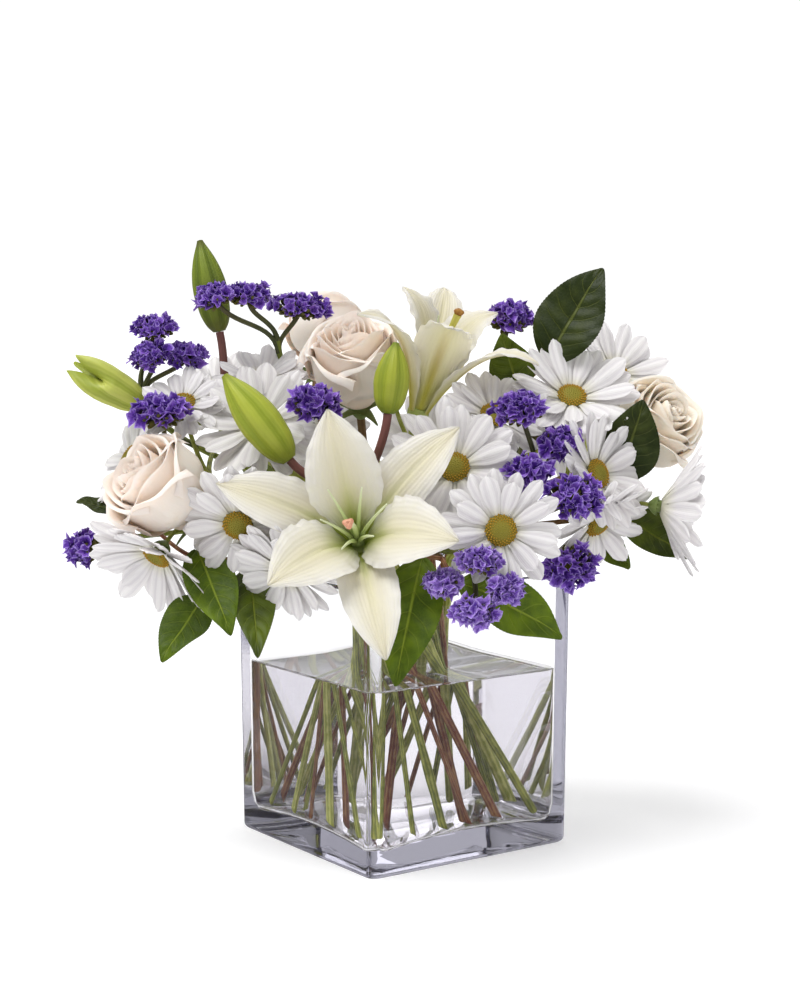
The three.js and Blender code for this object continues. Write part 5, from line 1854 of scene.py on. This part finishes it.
@dataclass(frozen=True)
class Leaf:
    """A pointed salal leaf, folded along its midrib and arched, with a finely toothed edge."""

    base: Point
    tip: Point
    width: float
    look: Point
    part: float
    face: Finish = SALAL
    teeth: int = 30
    rows: int = 61
    columns: int = 15

    def grow(self, skin: Skin, stem: Stem, seed: int) -> None:
        """Adds the leaf and its stalk.

        Its half width is a sine of the part along it, fuller below the middle, drawn out to a
        point, with small saw teeth. The blade folds up from the midrib, bulges between the side
        veins and bends in a long wave.

        Args:
            skin: The sprig's skin.
            stem: The stem that the stalk leaves.
            seed: Seeds its wave and tint.
        """
        rng = np.random.default_rng(seed)
        base, tip = np.array(self.base, float), np.array(self.tip, float)
        reach = float(np.linalg.norm(tip - base))
        along = (tip - base) / reach
        Branch(stem, self.part, base + 3 * along, along, 1.25, stem.finish).grow(skin, 0.8)
        u = np.linspace(0, 1, self.rows)
        v = np.linspace(-1, 1, self.columns)
        full = 1.2 + (self.width - 1.2) * np.sin(math.pi * u**0.82) ** 0.85 * (1 - 0.15 * u)
        saw = (u * self.teeth) % 1
        edge = 1 + 0.035 * (saw - 0.5) * smooth(u, 0.05, 0.2) * smooth(u, 1.0, 0.9)
        s = (full * edge / 2)[:, None] * v
        out = np.abs(v)
        bulges = np.sin((u[:, None] * SIDE_VEINS - out * VEIN_SWEEP) * 2 * math.pi)
        quilt = 0.35 * bulges * smooth(out, 0.0, 0.3) * smooth(out, 1.0, 0.7)
        fold = 0.24 * np.abs(s) + 0.9 * np.sin(u[:, None] * 9 + s * 0.05)
        curl = -0.006 * s**2 + 0.5 * np.sin(u[:, None] * 13 + rng.uniform(0, 6)) * out**2
        sheet = Rib((0, 0), 14, (reach, 0), -14).sheet(u, s, fold + quilt + curl)
        side = unit(np.cross(self.look, along))
        up = np.cross(along, side)
        placed = base + sheet[..., :1] * along + sheet[..., 1:2] * side + sheet[..., 2:] * up
        skin.blade(placed, 0.8, self.face, SALAL_UNDER, tint=rng.uniform(0.25, 0.75))


# ---- the bouquet

LILIES = {
    "lily_a": Lily(
        "lily_a",
        Seat(np.array([-21.7, -50, 160.8]), facing(-2.5, 24), 44),
        (70, 39),
        (53, 56),
        1.0,
        (-5.5, -4, 57),
        (FILAMENT, STIGMA),
    ),
    "lily_b": Lily(
        "lily_b",
        Seat(np.array([8.0, 8, 223]), facing(42, 65), -69),
        (55, 54),
        (30, 61),
        0.8,
        (4, 1, 61),
        (YELLOW_STYLE, BROWN_STIGMA),
        BRIGHTENED_IVORY_BACK,
    ),
}

BUDS = {
    "bud_top": Bud("bud_top", (-97, 22, 267), (-107, 22, 315), 9.5, BUD_DARK),
    "bud_left": Bud("bud_left", (-135, 0, 229), (-172, 0, 251), 10.0, BUD_PALE, 1.0),
    "bud_centre": Bud("bud_centre", (-56, -50, 204), (-88, -50, 246), 11.0, BUD_GREEN),
    "bud_middle": Bud("bud_middle", (-7, -48, 227), (-3, -48, 262), 9.5, BUD_LIME),
}

ROSES = {
    "rose_left": Rose("rose_left", Seat(np.array([-102.0, -38, 175]), facing(-56, 34), 20), 0.98),
    "rose_high": Rose("rose_high", Seat(np.array([-22.5, 12, 229]), facing(-12, 60), 20), 0.95),
    "rose_right": Rose("rose_right", Seat(np.array([120.0, 29, 205]), facing(40, 30), 20), 0.9, PEACH),
    "rose_back": Rose("rose_back", Seat(np.array([-46.0, 62, 246]), facing(165, 60), 20), 0.85),
}

DAISIES = {
    "daisies_left": [
        Daisy((-113, -15, 228), (-14, 50), 26, 0.75),
        Daisy((-101, 42, 232), (-22, 50), 29, 0.9),
        Daisy((-140, -4, 200), (-66, 28), 30, 0.6, 0.1),
        Daisy((-122, -44, 157), (-38, -44), 35, 0.35, 0.5),
    ],
    "daisies_front": [
        Daisy((-72, -24, 219), (-8, 35), 35, 0.9),
        Daisy((-74, 2, 240), (-5, 58), 27, 0.8),
        Daisy((-80, -64, 174), (-8, -22), 31, 0.6, 0.02),
        Daisy((-56, -69, 152), (-28, -32), 30, 0.4, 0.12),
    ],
    "daisies_centre": [
        Daisy((26, -56, 200), (-5, 22), 34, 0.8),
        Daisy((47, -89, 173), (3, 5), 30, 0.5),
        Daisy((47, -22, 223), (10, 45), 29, 0.9),
    ],
    "daisies_right": [
        Daisy((88, -4, 232), (8, 46), 34, 0.9, 0.4),
        Daisy((116, 51, 243), (32, 42), 34, 0.85, 0.3),
        Daisy((97, -34, 195), (45, 18), 31, 0.6, 0.35),
        Daisy((99, -26, 171), (42, -36), 32, 0.4, 0.35),
        Daisy((133, -24, 178), (84, -8), 33, 0.7, 0.7),
    ],
    "daisies_back": [
        Daisy((-44, 72, 206), (-155, 20), 32, 0.8),
        Daisy((16, 84, 200), (178, 12), 32, 0.9),
        Daisy((84, 66, 206), (140, 25), 32, 0.75),
        Daisy((-4, 40, 244), (170, 65), 29, 0.95),
    ],
}

COMBS = {
    "statice_left": [
        Comb((-129, 5, 268), (11, 8), (-0.2, -0.6, 1), 1.0),
        Comb((-131, 0, 254), (11, 7), (-0.6, -0.8, 0.6), 0.95),
        Comb((-113, 5, 254), (10, 7), (0.3, -0.8, 0.8), 0.95),
        Comb((-121, -36, 226), (14, 11), (-0.1, -0.5, 1), 0.7),
    ],
    "statice_crown": [
        Comb((-97, -2, 284), (12, 7), (-0.5, -0.4, 1), 0.95),
        Comb((-80, 5, 285), (12, 8), (0.1, -0.4, 1), 1.0),
        Comb((-54, 20, 279), (16, 8), (0.2, -0.4, 1), 0.95),
        Comb((-44, -38, 231), (12, 10), (0.2, -1, 0.6), 0.5),
    ],
    "statice_high": [Comb((57, 25, 273), (11, 13), (0.1, -0.5, 1), 0.9)],
    "statice_right": [
        Comb((59, -45, 228), (12, 11), (-0.3, -0.8, 1), 1.0),
        Comb((79, -40, 210), (12, 10), (0.6, -0.8, 0.6), 0.8),
        Comb((60, -58, 198), (12, 11), (-0.3, -1, 0.3), 0.75),
        Comb((84, -68, 187), (16, 10), (0.5, -1, 0.6), 0.5),
        Comb((84, -46, 151), (15, 13), (0.4, -0.9, -0.4), 0.3),
    ],
    "statice_front": [
        Comb((20, -99, 149), (9, 7), (-0.5, -1, 0.5), 0.95),
        Comb((37, -103, 159), (9, 7), (0, -0.8, 1), 0.95),
        Comb((48, -104, 147), (9, 7), (0.6, -1, 0), 1.0),
        Comb((34, -106, 137), (10, 8), (-0.2, -1, -0.5), 1.0),
    ],
    "statice_low": [Comb((-164, -8, 155), (12, 12), (-1, -0.3, 0.1), 1.0)],
    "statice_back": [
        Comb((52, 72, 226), (13, 10), (0, 1, 0.8), 1.0),
        Comb((72, 58, 214), (13, 10), (0.8, 0.6, 0.8), 0.9),
        Comb((46, 86, 184), (14, 11), (0.2, 1, -0.2), 0.7),
    ],
}

LEAVES = {
    "leaves_high": [
        Leaf((77, 10, 250), (106, 15, 300), 40, (-0.4, -1, 0.3), 1.0, SALAL_DARK),
        Leaf((62, 8, 236), (52, 0, 266), 26, (-0.3, -1, 0.4), 0.85),
    ],
    "leaves_right": [
        Leaf((111, -16, 190), (124, -13, 232), 34, (0.2, -1, 0.2), 1.0, SALAL_DARK),
        Leaf((112, 0, 170), (150, -2, 148), 32, (0.4, -0.8, 0.7), 1.0),
        Leaf((100, 8, 162), (120, 4, 142), 18, (0.2, -1, 0.4), 0.9),
    ],
    "leaves_front": [
        Leaf((10, -72, 158), (-3, -98, 99), 33, (-0.1, -1, 0.45), 0.95, SALAL_LIGHT),
        Leaf((27, -78, 146), (78, -74, 118), 36, (0.2, -1, 0.9), 1.0, SALAL_LIGHT),
    ],
    "leaves_left": [
        Leaf((-104, -42, 158), (-84, -72, 119), 28, (0.2, -1, 0.6), 1.0, SALAL_LIGHT),
        Leaf((-98, -40, 134), (-119, -62, 104), 28, (-0.3, -1, 0.7), 0.9, SALAL_LIGHT),
        Leaf((-78, -32, 146), (-70, -84, 110), 24, (0.2, -1, 0.6), 0.8),
        Leaf((-146, -2, 172), (-170, -5, 178), 16, (0, -0.6, 1), 0.98, SALAL_DARK),
    ],
    "leaves_back": [
        Leaf((-40, 88, 172), (-84, 104, 150), 34, (-0.2, 1, 0.7), 1.0),
        Leaf((-20, 92, 168), (-12, 112, 116), 36, (0, 1, 0.4), 1.0),
        Leaf((-60, 86, 178), (-98, 84, 212), 32, (-0.4, 1, 0.3), 0.9),
    ],
}

# Which bloom or buds each lily stem carries, and where their stalks leave it.
STALKS = {
    "lily_a": [("lily_a", 0.72, GREEN), ("bud_centre", 0.98, PEDICEL), ("bud_middle", 0.98, PEDICEL)],
    "lily_b": [("lily_b", 0.9, LIGHT_GREEN)],
    "lily_c": [("bud_top", 0.98, PEDICEL), ("bud_left", 0.9, GREEN)],
}


def all_stems() -> dict[str, Stem]:
    """Every stem in its order round the neck, spaced on its ring.

    Returns:
        The stems by name.
    """
    out, inn = Ring.OUTER, Ring.INNER
    return arrange(
        [
            Stem("lily_a", 3.3, out, (-17, -30, 176), (-0.2, -0.5, 1), LIGHT_GREEN),
            Stem("statice_front", 1.7, out, (30, -74, 160), (0.2, -1, 0.1)),
            Stem("leaves_front", 1.5, out, (20, -66, 156), (0, -1, 0.1), RED),
            Stem("daisies_centre", 2.2, out, (36, -40, 172), (0, -0.5, 1), LIGHT_GREEN),
            Stem("statice_right", 1.8, out, (66, -42, 184), (0.3, -0.3, 1)),
            Stem("leaves_right", 1.5, out, (104, -8, 172), (1, 0, 0.3), RED),
            Stem("daisies_right", 2.3, out, (84, 4, 184), (0.6, 0, 1), LIGHT_GREEN),
            rose_stem("rose_right", 2.5, out),
            Stem("statice_back", 1.7, out, (62, 48, 190), (0.5, 0.5, 1)),
            Stem("daisies_back", 2.2, out, (12, 48, 180), (0, 0.4, 1), LIGHT_GREEN),
            Stem("leaves_back", 1.5, out, (-30, 78, 170), (-0.2, 1, 0.3), RED),
            Stem("lily_c", 3.0, out, (-86, 10, 216), (-0.6, 0.1, 1), LIGHT_GREEN),
            Stem("statice_left", 1.8, out, (-138, 16, 238), (-0.2, -0.1, 1)),
            Stem("statice_low", 1.5, out, (-146, -4, 160), (-1, 0, 0)),
            Stem("daisies_left", 2.3, out, (-96, -12, 186), (-0.6, 0, 0.8)),
            Stem("leaves_left", 1.5, out, (-92, -38, 152), (-1, -0.3, 0), RED),
            rose_stem("rose_left", 2.5, out),
            Stem("daisies_front", 2.3, out, (-54, -36, 182), (-0.4, -0.3, 1)),
            Stem("lily_b", 2.9, inn, (6, 12, 208), facing(38, 72), LIGHT_GREEN),
            Stem("leaves_high", 1.5, inn, (66, 14, 240), (0.5, 0, 1), RED),
            Stem("statice_high", 1.6, inn, (53, 30, 262), (0, 0, 1)),
            rose_stem("rose_back", 2.4, inn),
            rose_stem("rose_high", 2.5, inn),
            Stem("statice_crown", 1.8, inn, (-66, 18, 262), (-0.1, 0, 1)),
        ]
    )


def grow_lilies(stems: dict[str, Stem]) -> None:
    """Grows the lilies, their buds and the stems that carry them.

    Args:
        stems: All stems by name.
    """
    for number, (name, stalks) in enumerate(STALKS.items()):
        skin = Skin()
        stems[name].grow(skin, STEM_SEEDS["lily"] + number)
        for carried, part, finish in stalks:
            bloom = carried in LILIES
            seat = LILIES[carried].seat if bloom else BUDS[carried].seat()
            end = seat.place - (LILY_FOOT if bloom else BUD_FOOT) * seat.axis
            Branch(stems[name], part, end, seat.axis, STALK_RADIUS, finish).grow(skin, 1.0)
        settle(skin, f"{name}_stem")
    for lily in LILIES.values():
        lily.tepals()
        lily.heart()
    for bud in BUDS.values():
        bud.grow()


def grow_roses(stems: dict[str, Stem]) -> None:
    """Grows the roses with their stems.

    Args:
        stems: All stems by name.
    """
    for name, rose in ROSES.items():
        rose.grow()
        rose.stem(stems[name])


def grow_daisies(stems: dict[str, Stem]) -> None:
    """Grows the daisy sprays: each with its stem and branches, then its blooms' petals.

    Args:
        stems: All stems by name.
    """
    number = 0
    for spray, (name, blooms) in enumerate(DAISIES.items()):
        skin = Skin()
        stems[name].grow(skin, STEM_SEEDS["daisy"] + spray)
        for bloom in blooms:
            bloom.heart(skin, stems[name])
        settle(skin, f"{name}_spray")
        for bloom in blooms:
            number += 1
            bloom.grow(number)


def grow_greens(stems: dict[str, Stem]) -> None:
    """Grows the sprigs of statice and of salal leaves.

    Args:
        stems: All stems by name.
    """
    for sprig, (name, combs) in enumerate(COMBS.items()):
        skin = Skin()
        stems[name].grow(skin, STEM_SEEDS["statice"] + sprig)
        petal = LIGHT_VIOLET if name == "statice_front" else VIOLET
        for number, comb in enumerate(combs):
            comb.grow(skin, stems[name], 10 * sprig + number, petal)
        settle(skin, name)
    for sprig, (name, leaves) in enumerate(LEAVES.items()):
        skin = Skin()
        stems[name].grow(skin, STEM_SEEDS["leaf"] + sprig)
        for number, leaf in enumerate(leaves):
            leaf.grow(skin, stems[name], 10 * sprig + number)
        settle(skin, name)


# ---- studio


@dataclass(frozen=True)
class Studio:
    """The pale floor, soft light and the camera at the photograph's view."""

    camera: Point = (-1.0, -992.4, 274.6)
    pitch: float = 5.5
    lens: float = 68.4
    sensor: float = 36.0
    floor: float = 60.0  # side of the floor, in metres
    glow: float = 0.29  # the floor's own light
    sky: float = 1.05  # the surround as the camera sees it
    sky_lit: float = 0.4  # as it lights matt things
    sky_mirrored: float = 0.14
    zenith: float = 0.25  # its top, as it is seen through the glass
    room: float = 0.28  # the side behind the camera, through the glass
    bounces: int = 24  # light runs far up and down inside the glass walls
    lamps: tuple[tuple[Point, float, float], ...] = (
        ((-0.52, -0.34, 1.3), 42.0, 2.5),
        ((0.8, -0.7, 0.5), 60.0, 0.3),
        ((0.1, 1.0, 0.8), 45.0, 0.7),
    )  # where each stands, its breadth in degrees and its power

    def into_row(self, point: Point) -> Array:
        """A point carried over from the bouquet's frame.

        Args:
            point: In millimetres.

        Returns:
            The point in the vase's frame and metres.
        """
        x, y, z = point
        c, s = math.cos(BOUQUET_TURN), math.sin(BOUQUET_TURN)
        return np.array([x * c + y * s, y * c - x * s, z]) * MILLIMETRE

    def ground(self) -> None:
        """A wide plain floor of matt white, marked as stage."""
        reach = self.floor / 2
        corners = [(-reach, -reach, 0), (reach, -reach, 0), (reach, reach, 0), (-reach, reach, 0)]
        mesh = bpy.data.meshes.new("floor")
        mesh.from_pydata(corners, [], [(0, 1, 2, 3)])
        bench = Bench("floor_white")
        white = (1, 1, 1, 1)
        mesh.materials.append(
            bench.finish(
                Base_Color=(0.80, 0.80, 0.81, 1),
                Roughness=0.9,
                Specular_IOR_Level=0.1,
                Emission_Color=white,
                Emission_Strength=self.glow,
            )
        )
        floor = bpy.data.objects.new("floor", mesh)
        bpy.context.scene.collection.objects.link(floor)
        floor.visible_glossy = False

    def surround(self) -> None:
        """A white surround, bright where the camera sees it.

        Rays through the glass find it dimmer towards its top and on the camera's side, where the
        room is. Mirrored rays, and rays that light matt things, find a dimmer one still.
        """
        world = bpy.data.worlds.new("surround")
        world.use_nodes = True
        tree = world.node_tree
        tree.nodes["Background"].inputs[0].default_value = (1, 1, 1, 1)

        def mapped(source: bpy.types.NodeSocket, **ranges: float) -> bpy.types.NodeSocket:
            """A value carried from one range to another.

            Args:
                source: The value's socket.
                ranges: The ends of both, with _ for each space in their names.

            Returns:
                The socket of the outcome.
            """
            node = tree.nodes.new("ShaderNodeMapRange")
            tree.links.new(source, node.inputs["Value"])
            for name, value in ranges.items():
                node.inputs[name.replace("_", " ")].default_value = value
            return node.outputs[0]

        way = tree.nodes.new("ShaderNodeLightPath").outputs
        direction = tree.nodes.new("ShaderNodeTexCoord").outputs["Generated"]
        axes = tree.nodes.new("ShaderNodeSeparateXYZ")
        tree.links.new(direction, axes.inputs[0])
        last = mapped(axes.outputs[2], From_Min=0.3, From_Max=0.8, To_Min=self.sky, To_Max=self.zenith)
        ahead = tree.nodes.new("ShaderNodeVectorMath")
        ahead.operation = "DOT_PRODUCT"
        tree.links.new(direction, ahead.inputs[0])
        ahead.inputs[1].default_value = self.into_row((0, -1, 0)) / MILLIMETRE
        steps = (
            (mapped(ahead.outputs["Value"], From_Min=-0.62, From_Max=0.3), self.room),
            (way["Is Reflection Ray"], self.sky_mirrored),
            (way["Is Camera Ray"], self.sky),
            (way["Diffuse Depth"], self.sky_lit),
        )
        for share, strength in steps:
            step = tree.nodes.new("ShaderNodeMix")
            step.clamp_factor = True
            tree.links.new(share, step.inputs[0])
            tree.links.new(last, step.inputs[2])
            step.inputs[3].default_value = strength
            last = step.outputs[0]
        tree.links.new(last, tree.nodes["Background"].inputs[1])
        bpy.context.scene.world = world

    def light(self) -> None:
        """Three soft suns: key, fill and rim."""
        for number, (source, breadth, power) in enumerate(self.lamps):
            data = bpy.data.lights.new(f"lamp_{number}", "SUN")
            data.angle = math.radians(breadth)
            data.energy = power
            lamp = bpy.data.objects.new(f"lamp_{number}", data)
            towards = unit(self.into_row(source))
            lamp.location = towards
            bearing = math.atan2(towards[1], towards[0]) + math.pi / 2
            lamp.rotation_euler = (math.acos(towards[2]), 0, bearing)
            bpy.context.scene.collection.objects.link(lamp)

    def look(self) -> None:
        """The camera: level but for its pitch, at the bouquet's front."""
        data = bpy.data.cameras.new("camera")
        data.lens = self.lens
        data.sensor_width = self.sensor
        data.clip_end = 50
        camera = bpy.data.objects.new("camera", data)
        camera.location = self.into_row(self.camera)
        camera.rotation_euler = (math.radians(90 - self.pitch), 0, -BOUQUET_TURN)
        bpy.context.scene.collection.objects.link(camera)
        bpy.context.scene.camera = camera
        bpy.context.scene.view_settings.view_transform = "Standard"

    def bounce(self) -> None:
        """Lets light run on inside the glass until it leaves it."""
        cycles = bpy.context.scene.cycles
        cycles.max_bounces = self.bounces
        cycles.glossy_bounces = self.bounces
        cycles.transmission_bounces = self.bounces


def main() -> None:
    """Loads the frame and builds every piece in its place."""
    logging.basicConfig(level=logging.INFO, format="%(message)s")
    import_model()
    studio = Studio()
    studio.look()
    studio.bounce()
    studio.ground()
    studio.surround()
    studio.light()
    vase = SquareVase()
    vase.glass()
    vase.water()
    stems = all_stems()
    grow_lilies(stems)
    grow_roses(stems)
    grow_daisies(stems)
    grow_greens(stems)


if __name__ == "__main__":
    main()
